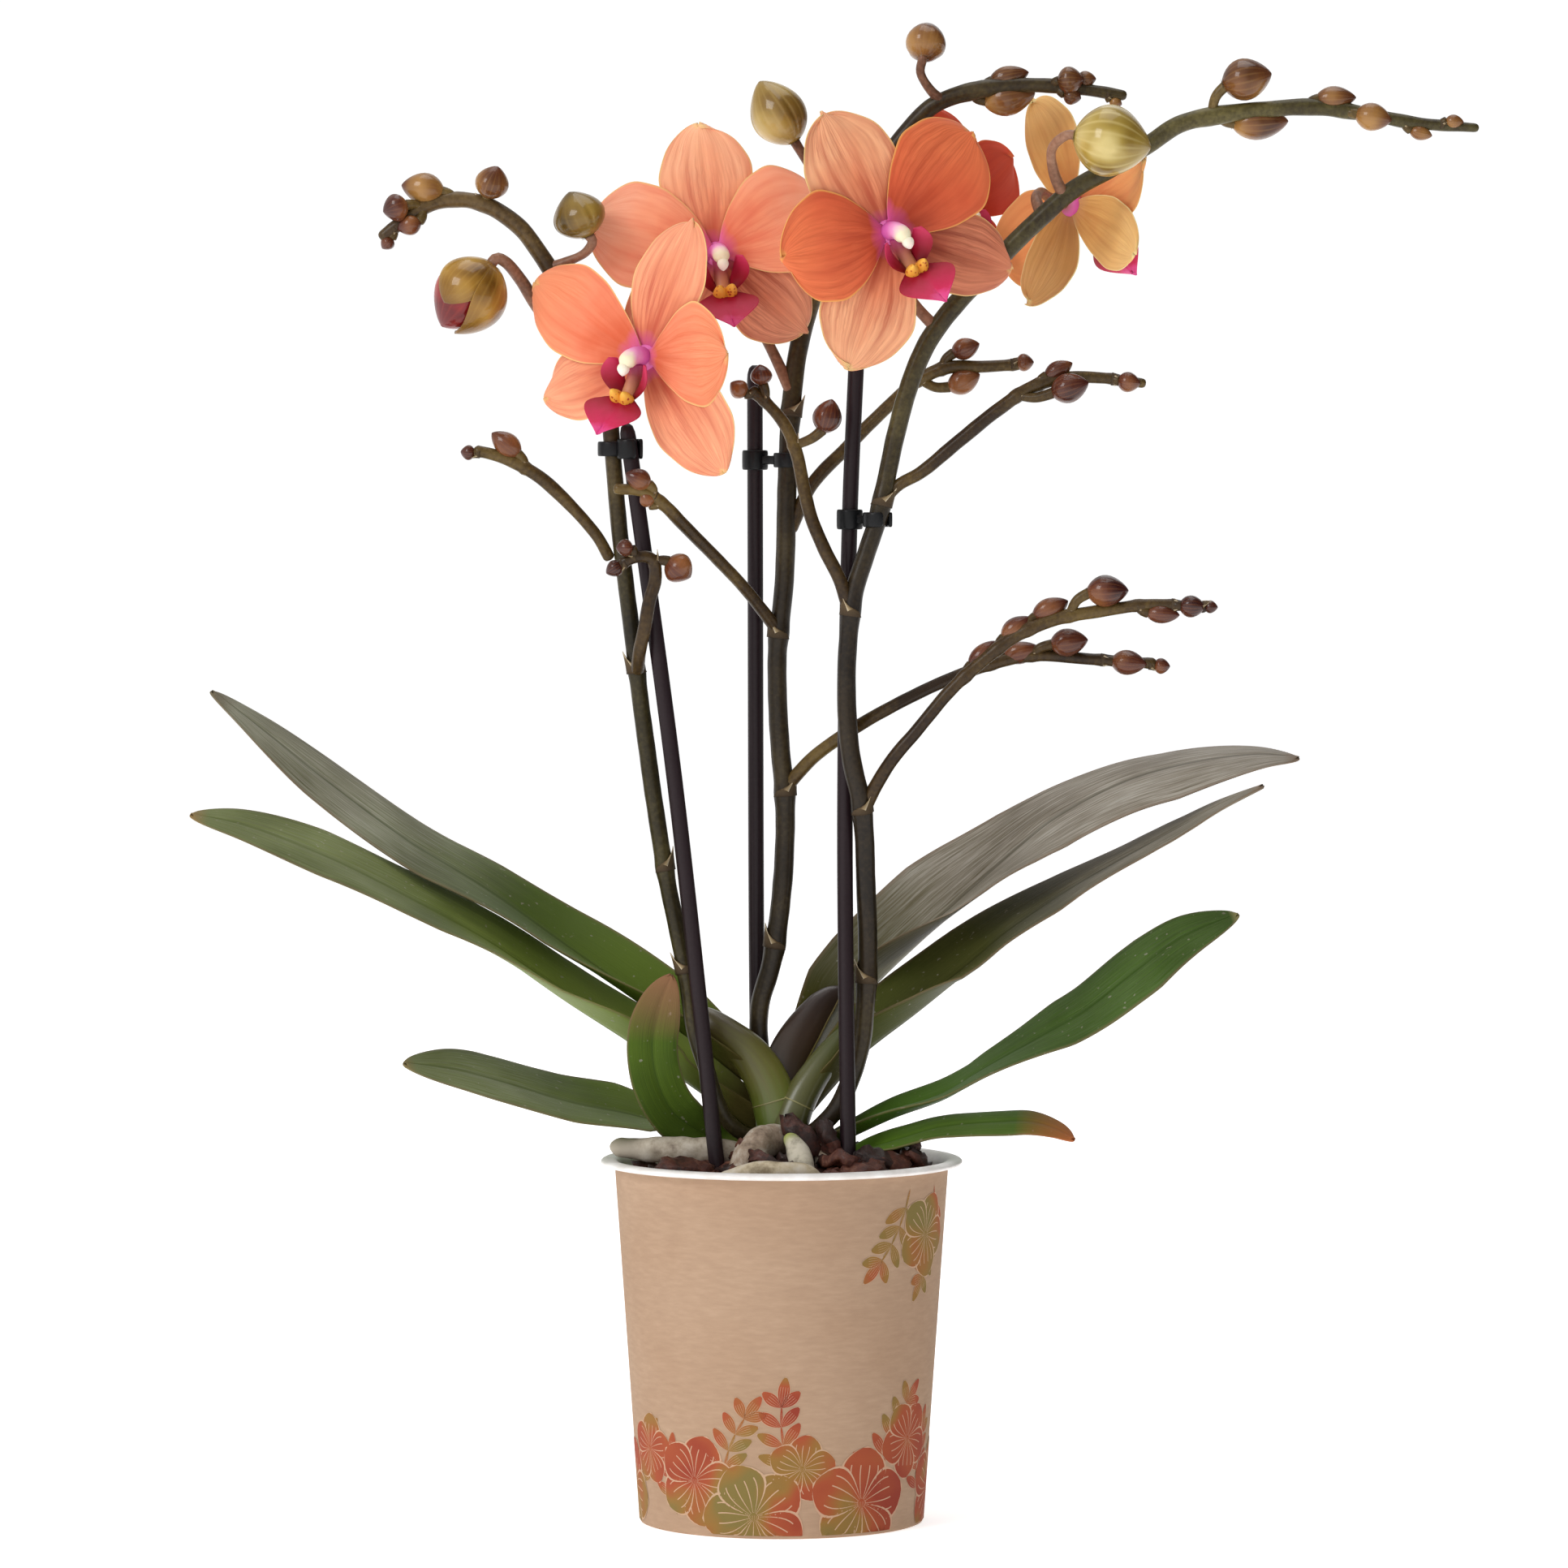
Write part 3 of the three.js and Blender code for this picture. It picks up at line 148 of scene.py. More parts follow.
SPIKES = {
    "spike_left": {
        "route": ((-2, 1, 101), (-5, -1, 103.5), (-10.5, -3.5, 105.5), (-15, -5, 109.5), (-18, -6, 116),
            (-20.5, -6.4, 124), (-23.6, -7, 134), (-25.8, -7, 149), (-31.3, -6, 176.4),
            (-36.1, -6, 208.2), (-40, -6, 238.8), (-43.7, -6, 269.4), (-45.4, -6, 289.1),
            (-47, -5, 304.4), (-52, -4, 319.7), (-59.2, -4, 333.8), (-65.1, -4, 343.2),
            (-70.5, -4, 350.2), (-79.3, -4, 356.1), (-88, -4, 357.6), (-96.3, -5, 355.4),
            (-101, -6, 352.3), (-108, -6, 347.1)),
        "radii": (2, 2.25, 2.3, 2.35, 2.25, 2.25, 2.3, 2.3, 1.5),
        "buds": ((0.9, -70, 2, 100, 92, 9.4, 8.8), (0.925, -100, 3.6, 40, 11, 11.6, 8.4),
            (0.955, -60, 4.4, 44, 10, 7, 7.4), (0.955, 60, 4.2, 60, -10, 6.6, 5.3),
            (0.985, 90, 2.6, 45, 10, 4, 3.8)),
        "joints": ((150, 90), (177.6, -90), (231, 90)),
        "stalks": (
            {"route": ((-48.5, -5, 310), (-45, -8, 314), (-38.2, -14.5, 316.4), (-34.6, -22.7, 315)),
             "radii": (1.5, 1.2, 1.5)},
            {"route": ((-53, -5, 321), (-58.6, -3.4, 322.3), (-64.6, -2.6, 327.4), (-70, -6.6, 335.8),
                (-74.2, -12.3, 340.8), (-76.4, -13.3, 341.6)), "radii": (2, 1.8, 1.5)},
            {"route": ((-63, -4, 339), (-58.4, -5.5, 340.6), (-52.6, -8, 343.4), (-50.8, -9.6, 346.4)),
             "radii": (1.7, 1.2, 1.4)},
        ),
        "branches": (
            {"route": ((-46.1, -6, 260.7), (-49.8, -7, 267.3), (-57.4, -8, 276), (-65.1, -8, 283),
                (-72.7, -8, 287.3), (-79.2, -8, 289.5), (-82.9, -8, 290)),
             "radii": (1.6, 1.6, 1.85, 1.75, 1.5),
             "buds": ((0.7, -90, 3.6, 40, 10, 9.7, 6.2), (0.97, 90, 1, 30, 0, 4, 4))},
            {"route": ((-38.9, -7, 230.5), (-38, -13, 237), (-36.6, -15.8, 243.2),
                (-35.5, -16.2, 249.6), (-33.8, -16.2, 256), (-34.6, -17, 261), (-38.7, -18, 261.8),
                (-43.4, -18, 259.6)),
             "radii": (1.9, 1.8, 1.8, 1.7, 1.5),
             "buds": ((0.76, -90, 3.6, 100, 150, 8, 8), (0.9, -60, 3, 100, 20, 4.6, 4.6),
                 (0.97, 90, 0.6, 20, 0, 5, 4.4))},
        ),
    },
    "spike_middle": {
        "route": ((-1, 6, 111), (-3.4, 11, 118), (-6, 13.4, 128), (-5.9, 13.4, 138.8),
            (-2.9, 13, 149.9), (-0.7, 12, 163.2), (0.7, 12, 178.7), (0.9, 12, 196.4), (-0.2, 12, 207.4),
            (-1.1, 12, 222.9), (-1.1, 12, 236.1), (0.7, 12, 253.8), (1.5, 12, 280.2),
            (2.6, 13.5, 302.2), (4.6, 15.5, 317.7), (8.2, 16.5, 330.9), (15.9, 17, 348.5),
            (24.7, 17, 363.9), (33.5, 16, 375.9), (41.2, 14, 383.6), (52.1, 13, 387.5), (65.3, 12, 389),
            (78.5, 12, 388.3), (93.5, 12, 386.1)),
        "radii": (2.4, 2.7, 2.7, 2.6, 2.65, 2.6, 2.5, 2.3, 1.4),
        "buds": ((0.875, -125, 5, 60, 4, 14.3, 9.4), (0.885, 130, 3, 50, 4, 11, 6),
            (0.94, 40, 2.5, 60, 11, 7.2, 7.4), (0.955, 100, 2.6, 60, 10, 5.4, 4.6),
            (0.945, -60, 2.6, 54, 13, 5, 4.8), (0.985, -90, 2, 70, 10, 3.6, 3.2)),
        "joints": ((155.7, 90), (197, -90), (240, 90), (300, -90)),
        "stalks": (
            {"route": ((2.6, 13, 306), (-3, 15, 318), (-11.5, 15, 333), (-16.6, 12, 340),
                (-18.1, 7.1, 342.6)), "radii": (1.7, 1.3, 1.6)},
            {"route": ((15.5, 16.5, 348.8), (13.4, 15, 356), (9.5, 13.5, 364), (4.1, 12.3, 372.9)),
             "radii": (1.6, 1.2, 1.4)},
            {"route": ((17, 17, 350), (21, 24, 350), (28, 36, 352), (40, 43, 356.6),
                (45.6, 36.5, 355.4)), "radii": (1.7, 1.3, 1.6)},
            {"route": ((43.5, 13, 385), (40.6, 12, 387.4), (37.6, 11, 392.4), (38.2, 10, 396)),
             "radii": (1.5, 1.2, 1.3),
             "buds": ((1, 0, 0, 0, -50, 12, 10.6),)},
        ),
        "branches": (
            {"route": ((-0.9, 12, 241), (-9.4, 4, 252.2), (-18.2, -4, 261.8), (-25.7, -11, 269.5),
                (-31.5, -16, 275.6), (-36.5, -18, 279.1), (-45, -18, 280)),
             "radii": (1.8, 1.65, 1.7, 1.75, 1.4),
             "buds": ((0.84, -80, 3.4, 40, -10, 7.4, 5.6), (0.8, 90, 3, 60, -20, 4.6, 4))},
            {"route": ((1.2, 12, 198.6), (8.2, 8, 206.5), (16.9, 3, 213.2), (27.9, 0, 219.9),
                (41.1, 1, 226.5), (54.2, 2, 231.6), (67.4, 2, 234.7), (82.8, 2, 233.8),
                (101.4, 2, 232.5)),
             "radii": (1.85, 1.75, 1.7, 1.7, 1.4),
             "buds": ((0.87, -10, 2.4, 20, 6, 9.8, 6.6), (0.7, 60, 6, 30, 3, 10.4, 7.4),
                 (0.6, 120, 4, 20, -6, 10.6, 5.8), (0.985, -90, 1, 30, 0, 4.6, 4.2))},
            {"route": ((2.2, 12.4, 268.1), (8.1, 12, 280.7), (16.9, 13, 290.1), (27.9, 12, 301.1),
                (36.7, 10, 308.8), (44.4, 9, 312.5), (54.3, 8, 312.8), (65, 8, 313.4)),
             "radii": (1.85, 1.8, 1.75, 1.8, 1.5),
             "buds": ((0.74, 90, 5, 40, 2, 8, 5.8), (0.66, -90, 8, 50, 8, 9.6, 6.6),
                 (0.97, 60, 1, 30, 0, 5, 4.6))},
        ),
    },
    "spike_right": {
        "route": ((1.5, 1, 101), (4.8, 0, 103), (10.5, -3.4, 107.4), (15.3, -4.8, 113), (18.5, -5, 120),
            (21, -5, 128), (22.4, -5, 138), (23.3, -5, 155.4), (22.8, -6, 170.9), (22.3, -8, 186.4),
            (21.2, -10, 196.3), (18.6, -11, 208.4), (17.5, -11, 223.7), (17.9, -11, 239),
            (19.6, -11, 252.1), (22.9, -10.4, 262.9), (26, -10, 272.3), (28.2, -9.4, 282.6),
            (31, -9, 295.6), (34.7, -9, 308.7), (39.7, -9, 320), (47.3, -9, 330), (58.2, -9, 341.4),
            (69.1, -9, 352.2), (78.9, -9, 360.5), (88.7, -9, 365.9), (98.4, -9, 372.2),
            (107.1, -9, 377.7), (116.9, -9, 380), (130, -9, 381.6), (143.1, -9, 382.2),
            (156.1, -9, 380.5), (169.2, -9, 378.1), (187.1, -9, 376.6)),
        "radii": (2.3, 2.65, 2.65, 2.6, 2.5, 2.5, 2.6, 2.5, 2.4, 2.1, 1.2),
        "buds": ((0.82, 80, 9, 62, 3, 13.6, 11), (0.825, -130, 5, 50, 8, 15.4, 9),
            (0.885, 100, 3, 50, 2, 11, 6), (0.91, -20, 3, 30, 5, 10, 7.4),
            (0.95, -90, 2.6, 50, 6, 6.4, 4), (0.975, 60, 1.6, 60, 2, 5, 3.6)),
        "joints": ((147.2, 90), (193.5, -90), (246.5, 90), (276, -90)),
        "stalks": (
            {"route": ((41.5, -9, 323), (36, -9.4, 329), (30.4, -13.5, 337.6), (26.6, -19.5, 345),
                (26.3, -24.9, 347.2)), "radii": (1.7, 1.3, 1.6)},
            {"route": ((70, -9, 353), (68.5, -5, 357.6), (70, 2, 359.8), (72.4, 10, 358.6),
                (76.5, 15.2, 357.3)), "radii": (1.7, 1.3, 1.6)},
            {"route": ((76, -9, 358), (73, -12.5, 364.5), (72.4, -18, 371), (76.4, -22, 374.3)),
             "radii": (1.7, 1.3, 1.3)},
        ),
        "branches": (
            {"route": ((17.9, -11, 248.1), (15.7, -12, 255.3), (11.3, -13, 264.1), (8.1, -13, 271.7),
                (5.9, -13, 280.4), (4.1, -13, 289.1), (1.1, -13, 296.7), (-3.9, -13, 302.8),
                (-8.6, -13, 306.6)),
             "radii": (1.85, 1.8, 1.8, 1.7, 1.5),
             "buds": ((0.7, -90, 8.4, 84, 34, 9.4, 7.6), (0.92, -80, 4.4, 40, 40, 5.6, 5.8),
                 (0.98, 70, 2, 60, 0, 5.4, 5))},
            {"route": ((27.6, -9, 277), (31.6, -9, 281), (37.5, -9, 284.3), (47.3, -9, 292.4),
                (58.2, -9, 301.1), (67, -9, 307), (75.7, -9, 309.6), (86.6, -9, 309.6),
                (97.9, -9, 308.1)),
             "radii": (1.6, 1.85, 1.85, 1.7, 1.3),
             "buds": ((0.64, 100, 2.6, 30, 6, 8.4, 4.8), (0.56, -60, 9.4, 34, 20, 10.6, 7.8),
                 (0.89, -20, 1.4, 40, 3, 6.4, 5.4))},
            {"route": ((21.9, -8.6, 192.8), (25.1, -11, 199.6), (29.9, -13, 207.4), (36.4, -14, 215.1),
                (45.1, -15, 225.6), (53.8, -15, 233.6), (62.5, -15, 240.2), (73.4, -15, 244.9),
                (86.5, -15, 247.3), (99.5, -15, 248.9), (114.3, -15, 248)),
             "radii": (1.9, 1.75, 1.75, 1.75, 1.3),
             "buds": ((0.68, 80, 8, 44, -10, 11.4, 8.2), (0.58, 130, 4, 50, 0, 10.6, 6.2),
                 (0.5, 140, 3, 40, 0, 9.6, 5.6), (0.4, 150, 3.4, 40, 2, 10, 5),
                 (0.84, -90, 2.8, 50, 10, 9.2, 5), (0.92, 0, 1.8, 30, -3, 7.2, 5.8),
                 (0.985, 60, 0.8, 30, 0, 3.8, 3.4))},
        ),
    },
}

LARGE_BUDS = {
    "bud_opening": {"base": (-77.6, -13.4, 340.2), "tip": (-91, -15, 323.4), "wide": 20},
    "bud_left": {"base": (-51.8, -9.8, 347.4), "tip": (-57, -11, 359.4), "wide": 14.4},
    "bud_middle": {"base": (3.8, 12.2, 373.4), "tip": (-6, 12, 390), "wide": 15.2},
    "bud_right": {"base": (77.8, -22.6, 374.2), "tip": (98.4, -23.6, 370.8), "wide": 19.4},
}

STAKES = {
    "stake_left": {
        "route": ((-11.6, -15, 46), (-17.3, -14, 97), (-28.8, -12, 201.9), (-40.6, -9, 289.1),
            (-41.7, -9, 297.4)),
        "clip_height": 290.6, "spike": "spike_left",
    },
    "stake_middle": {
        "route": ((-6, 21, 46), (-6, 21, 100.3), (-6.7, 21, 136), (-7.3, 20, 313.3)),
        "clip_height": 287.5, "spike": "spike_middle",
    },
    "stake_right": {
        "route": ((18.3, -19, 46), (17.9, -15.6, 101.2), (17.1, -5.4, 192.8), (18.4, -3.6, 272.3),
            (20.3, -3, 317.5)),
        "clip_height": 271.6, "spike": "spike_right",
    },
}

# Turn is a tepal's direction round the bloom in degrees, and narrow, peak and bow shape its outline.
SEPAL = {"length": 34, "width": 24, "lift": 0, "narrow": 0.26, "peak": 1.1, "bow": 0}
PETAL = {"length": 33, "width": 31, "lift": 1.7, "narrow": 0.2, "peak": 1.3, "bow": 0}
TEPALS = {
    "upper": {**SEPAL, "turn": 0, "length": 36, "width": 25, "narrow": 0.24},
    "lowerRight": {**SEPAL, "turn": 131},
    "lowerLeft": {**SEPAL, "turn": -131},
    "petalRight": {**PETAL, "turn": 64},
    "petalLeft": {**PETAL, "turn": -64},
}

BLOOMS = {
    "bloom_left": {
        "centre": (-36, -26, 315), "facing": (-0.5, -0.86, 0), "upright": 75, "size": 1,
        "own": {"upper": {"turn": 7, "length": 38, "width": 22},
            "lowerRight": {"turn": 130, "length": 37.5, "bow": -1.5},
            "lowerLeft": {"turn": -121, "length": 34, "width": 20.5},
            "petalRight": {"turn": 74, "length": 24.5, "width": 28, "peak": 1.7},
            "petalLeft": {"turn": -73, "length": 40, "width": 25}},
    },
    "bloom_back": {
        "centre": (-17.7, 4, 343.2), "facing": (0.15, -0.98, 0.02), "upright": 97, "size": 0.97,
        "own": {"upper": {"width": 27.3}, "lowerRight": {"turn": 137, "length": 33, "width": 25},
            "petalRight": {"turn": 69}, "petalLeft": {"turn": -70, "length": 36, "width": 30}},
    },
    "bloom_front": {
        "centre": (28, -28, 348.2), "facing": (0.4, -0.92, 0), "upright": 119, "size": 0.99,
        "own": {"upper": {"turn": -3, "width": 28.5, "bow": -1},
            "lowerRight": {"turn": 131, "length": 38.5, "width": 23.5},
            "lowerLeft": {"turn": -137, "length": 37.5, "width": 29},
            "petalRight": {"turn": 70, "length": 37}, "petalLeft": {"turn": -76, "length": 31}},
    },
    "bloom_hidden": {
        "centre": (47.4, 34, 355.6), "facing": (0.62, -0.78, 0.1), "upright": 100, "size": 0.8,
        "own": {"lowerRight": {"turn": 152, "length": 26}, "petalRight": {"turn": 63, "width": 27}},
    },
    "bloom_right": {
        "centre": (78.8, 17, 357), "facing": (0.79, 0.6, -0.12), "upright": 131, "size": 0.95,
        "own": {"upper": {"turn": 3, "length": 36, "width": 22},
            "lowerRight": {"turn": 126, "length": 31},
            "lowerLeft": {"turn": -145, "length": 36, "width": 20},
            "petalRight": {"turn": 87, "length": 34, "width": 30},
            "petalLeft": {"turn": -99, "width": 25.5}},
    },
}

# The pot: radii and heights of its paper sleeve
POT = {"height": 98.7, "rim": 49.0, "shoulder": 45.2, "foot": 38.5, "wall": 1.2}
MULCH = {"edge": 92.6, "mound": 98.6, "radius": 41.6}
STAKE_RADIUS = 2.15
STEM_RADIUS = 2.6
CLEARANCE = 0.3


# Curves
def smooth_route(points):
    """A centripetal curve through the points, as closely spaced points."""
    steps = 16
    knots = np.array(points, float)
    ends = np.vstack([2 * knots[0] - knots[1], knots, 2 * knots[-1] - knots[-2]])
    shares = np.arange(steps)[:, None] / steps
    spans = []
    for before, start, end, after in zip(ends, ends[1:], ends[2:], ends[3:]):
        first, middle, last = (
            max(np.linalg.norm(b - a), 1e-6) ** 0.5
            for a, b in ((before, start), (start, end), (end, after))
        )
        leave = (start - before) / first - (end - before) / (first + middle) + (end - start) / middle
        arrive = (end - start) / middle - (after - start) / (middle + last) + (after - end) / last
        leave, arrive = leave * middle, arrive * middle
        cubic = 2 * start - 2 * end + leave + arrive
        square = 3 * end - 3 * start - 2 * leave - arrive
        spans.append(start + leave * shares + square * shares**2 + cubic * shares**3)
    return np.vstack(spans + [knots[-1:]])


class Route:
    """A smooth curve, measured along its length from 0 to 1."""

    def __init__(self, points):
        self.places = smooth_route(points)
        steps = np.linalg.norm(np.diff(self.places, axis=0), axis=1)
        self.marks = np.concatenate([[0], np.cumsum(steps)])
        self.length = self.marks[-1]

    def at(self, share):
        mark = min(max(share, 0), 1) * self.length
        return Vector([np.interp(mark, self.marks, self.places[:, axis]) for axis in range(3)])

    def along(self, share):
        return (self.at(min(share + 0.004, 1)) - self.at(max(share - 0.004, 0))).normalized()

    def share_at_height(self, height):
        rising = np.maximum.accumulate(self.places[:, 2])
        return float(np.interp(height, rising, self.marks)) / self.length


def value_at(values, share):
    return float(np.interp(share * (len(values) - 1), range(len(values)), values))


def swell_at(share, places, width):
    """How near a share is to the nearest of some places, from 0 to 1."""
    return max((math.exp(-(((share - place) / width) ** 2)) for place in places), default=0)


def signed_power(value, power):
    return math.copysign(abs(value) ** power, value)


def full_turn(sides):
    return [2 * math.pi * side / sides for side in range(sides)]


# Skins: each one is (points, faces, UVs), with U along it and V across or around it
def grid_faces(rows, columns):
    wide = columns + 1
    return [
        (corner, corner + 1, corner + wide + 1, corner + wide)
        for row in range(rows)
        for corner in range(row * wide, row * wide + columns)
    ]


def rings_skin(rings, capped=True):
    """A skin over rings of points. V runs up one side and down the other, with no seam."""
    sides, last = len(rings[0]), len(rings) - 1
    points = [point for circle in rings for point in circle]
    uvs = [(row / last, abs(2 * side / sides - 1)) for row in range(last + 1) for side in range(sides)]
    faces = [
        (start + side, start + after, start + sides + after, start + sides + side)
        for start in range(0, last * sides, sides)
        for side, after in zip(range(sides), [*range(1, sides), 0])
    ]
    if capped:
        faces += [tuple(reversed(range(sides))), tuple(range(last * sides, len(points)))]
    return points, faces, uvs


def ring(centre, across, beside, wide, deep, sides):
    turns = full_turn(sides)
    return [centre + across * (wide * math.cos(t)) + beside * (deep * math.sin(t)) for t in turns]


def turned_skin(profile, sides):
    """An open lathe skin round the upright axis. A profile point is (radius, height)."""
    east, north = Vector((1, 0, 0)), Vector((0, 1, 0))
    rings = [ring(Vector((0, 0, height)), east, north, radius, radius, sides) for radius, height in profile]
    return rings_skin(rings, capped=False)


def tube(route, radius_at, sides, step, rough=0.0):
    """A round stem along a route, with rounded ends and a little unevenness."""
    curve = Route(route) if not isinstance(route, Route) else route
    count = max(int(curve.length / step), 6)
    shares = [0, 0.2 / count, 0.6 / count] + [i / count for i in range(1, count)]
    shares += [1 - 0.6 / count, 1 - 0.2 / count, 1]
    fills = [0.35, 0.75, 0.95] + [1] * (len(shares) - 6) + [0.95, 0.75, 0.35]
    across = curve.along(0).orthogonal().normalized()
    rings = []
    for share, fill in zip(shares, fills):
        along = curve.along(share)
        across = (across - along * across.dot(along)).normalized()
        centre = curve.at(share)
        radius = radius_at(share) * fill
        circle = ring(Vector(), across, along.cross(across), radius, radius, sides)
        if rough:
            circle = [p * (1 + rough * noise.noise((centre + p) * 0.22)) for p in circle]
        rings.append([centre + p for p in circle])
    return rings_skin(rings)


def blade(surface, thickness, rows, columns, crowding=1.0):
    """A thin closed blade over a mid-surface of u from 0 to 1 and v from -1 to 1.
    The faces of its upper side come first."""
    us = [1 - (1 - row / rows) ** crowding for row in range(rows + 1)]
    vs = [math.sin(math.pi * (column / columns - 0.5)) for column in range(columns + 1)]
    small = 2e-3
    upper, lower, uvs = [], [], []
    for u in us:
        for v in vs:
            step_u = surface(min(u + small, 1), v) - surface(max(u - small, 0), v)
            step_v = surface(u, min(v + small, 1)) - surface(u, max(v - small, -1))
            proud = step_u.cross(step_v).normalized() * (thickness(u, v) / 2)
            middle = surface(u, v)
            upper.append(middle + proud)
            lower.append(middle - proud)
            uvs.append((u, (v + 1) / 2))
    wide, under = columns + 1, len(upper)
    last = rows * wide
    border = [*range(0, last, wide), *range(last, last + columns)]
    border += [*range(last + columns, columns, -wide), *range(columns, 0, -1)]
    front = grid_faces(rows, columns)
    back = [tuple(under + index for index in reversed(face)) for face in front]
    edge = [(a, b, under + b, under + a) for a, b in zip(border, border[1:] + border[:1])]
    return upper + lower, front + back + edge, uvs + uvs


def put_in_scene(name, data):
    made = bpy.data.objects.new(name, data)
    bpy.context.scene.collection.objects.link(made)
    return made


def make_piece(name, parts, finishes, slot, stands_for=()):
    """One object from (skin, finish) parts, riding on the plant's one body.
    A part's finish is a number for all of its faces or a list with one for each."""
    points, faces, numbers, uvs = [], [], [], []
    for (skin_points, skin_faces, skin_uvs), number in parts:
        first = len(points)
        points.extend(skin_points)
        uvs.extend(skin_uvs)
        faces.extend(tuple(first + index for index in face) for face in skin_faces)
        numbers.extend(number if isinstance(number, list) else [number] * len(skin_faces))
    mesh = bpy.data.meshes.new(name)
    mesh.from_pydata([point * MM for point in points], [], faces)
    layer = mesh.uv_layers.new(name="UVMap")
    corners = np.zeros(len(mesh.loops), int)
    mesh.loops.foreach_get("vertex_index", corners)
    layer.data.foreach_set("uv", np.array(uvs, np.float32)[corners].ravel())
    mesh.polygons.foreach_set("material_index", numbers)
    mesh.polygons.foreach_set("use_smooth", [True] * len(mesh.polygons))
    for finish in finishes:
        mesh.materials.append(finish)
    work = bmesh.new()
    work.from_mesh(mesh)
    bmesh.ops.recalc_face_normals(work, faces=work.faces)
    work.to_mesh(mesh)
    work.free()
    made = put_in_scene(name, mesh)
    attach(made, "root")
    if stands_for:
        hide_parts(*stands_for)
    return made


# Materials
def tone(code):
    """A linear colour from an sRGB hex value."""
    parts = [int(code[place : place + 2], 16) / 255 for place in (1, 3, 5)]
    linear = [c / 12.92 if c <= 0.04045 else ((c + 0.055) / 1.055) ** 2.4 for c in parts]
    return (*linear, 1.0)


def node(tree, kind, *values, out=None, stops=(), **named):
    """Adds a node and gives its first output, or the one that out names. Values fill its inputs in
    order. A named value goes to the input of that name, or to a setting if the name is in small
    letters. A value is a plain one, a hex colour or another node's output. A stop is (position,
    hex colour or grey)."""
    made = tree.nodes.new("ShaderNode" + kind)
    for name in filter(str.islower, named):
        setattr(made, name, named[name])
    pairs = [*zip([socket for socket in made.inputs if socket.enabled], values)]
    pairs += [(made.inputs[name], value) for name, value in named.items() if not name.islower()]
    for socket, value in pairs:
        if isinstance(value, bpy.types.NodeSocket):
            tree.links.new(value, socket)
        else:
            socket.default_value = tone(value) if isinstance(value, str) else value
    for number, (position, color) in enumerate(stops):
        ramp = made.color_ramp.elements
        element = ramp[number] if number < len(ramp) else ramp.new(1.0)
        element.position = position
        element.color = tone(color) if isinstance(color, str) else (color, color, color, 1.0)
    return made.outputs[out] if out else next(socket for socket in made.outputs if socket.enabled)


def start_material(name, **sockets):
    """A material with its shader's plain sockets set, and the node function for its own tree."""
    material = bpy.data.materials.new(name)
    material.use_nodes = True
    shader = material.node_tree.nodes["Principled BSDF"]
    for socket, value in sockets.items():
        shader.inputs[socket.replace("_", " ").title().replace("Ior", "IOR")].default_value = value
    return material, functools.partial(node, material.node_tree)


def finish_material(material, colour, *layers, height=None, strength=0.2, depth=0.2):
    """Lays (share, colour) layers over the first colour and joins the outcome to the shader.
    A height gives relief, with its depth in millimetres."""
    tree = material.node_tree
    shader = tree.nodes["Principled BSDF"]
    for share, layer in layers:
        colour = node(tree, "Mix", share, colour, layer, data_type="RGBA")
    tree.links.new(colour, shader.inputs["Base Color"])
    if height:
        bump = node(tree, "Bump", Strength=strength, Distance=depth * MM, Height=height)
        tree.links.new(bump, shader.inputs["Normal"])
    return material


def per_mm(size):
    """The scale of a pattern whose features are a size in millimetres, in object space."""
    return 1000.0 / size


def blade_places(add):
    """A blade's UV, the shares along and across it, and how far a point is from its middle line."""
    uv = add("TexCoord", out="UV")
    along, across = (add("SeparateXYZ", uv, out=axis) for axis in "XY")
    aside = add("Math", add("Math", across, 0.5, operation="SUBTRACT"), operation="ABSOLUTE")
    return uv, along, across, aside


def kraft_paper():
    """Unbleached kraft paper on a moulded cup: matt, with long fibres and darker flecks."""
    material, add = start_material("kraft_paper", roughness=0.86, specular_ior_level=0.25)
    place = add("TexCoord", out="Object")
    # Real fibres are hair-thin, so these are drawn 1 mm wide to show
    fibres = add("TexNoise", add("Mapping", place, Scale=(0.22, 0.22, 1.0)), per_mm(1.1), 4.0, 0.6)
    shade = add("ValToRGB", fibres, stops=((0.3, "#AA8D75"), (0.5, "#AF9279"), (0.72, "#B5987F")))
    clouds = add("TexNoise", place, per_mm(34), 2.0)
    clouded = add("ValToRGB", clouds, stops=((0.35, "#D9C6B4"), (0.65, "#FFFFFF")))
    toned = add("Mix", 0.2, shade, clouded, data_type="RGBA", blend_type="MULTIPLY")
    return finish_material(material, toned, height=fibres, strength=0.14, depth=0.1)


def coated_card():
    """Bleached card with a thin moisture coat: the rolled rim and the lining, near white and smooth."""
    material, add = start_material("coated_card", roughness=0.42, specular_ior_level=0.4)
    cloud = add("TexNoise", add("TexCoord", out="Object"), per_mm(6), 3.0)
    shade = add("ValToRGB", cloud, stops=((0.35, "#E4DFDA"), (0.65, "#F4F1EE")))
    return finish_material(material, shade, height=cloud, strength=0.08, depth=0.1)


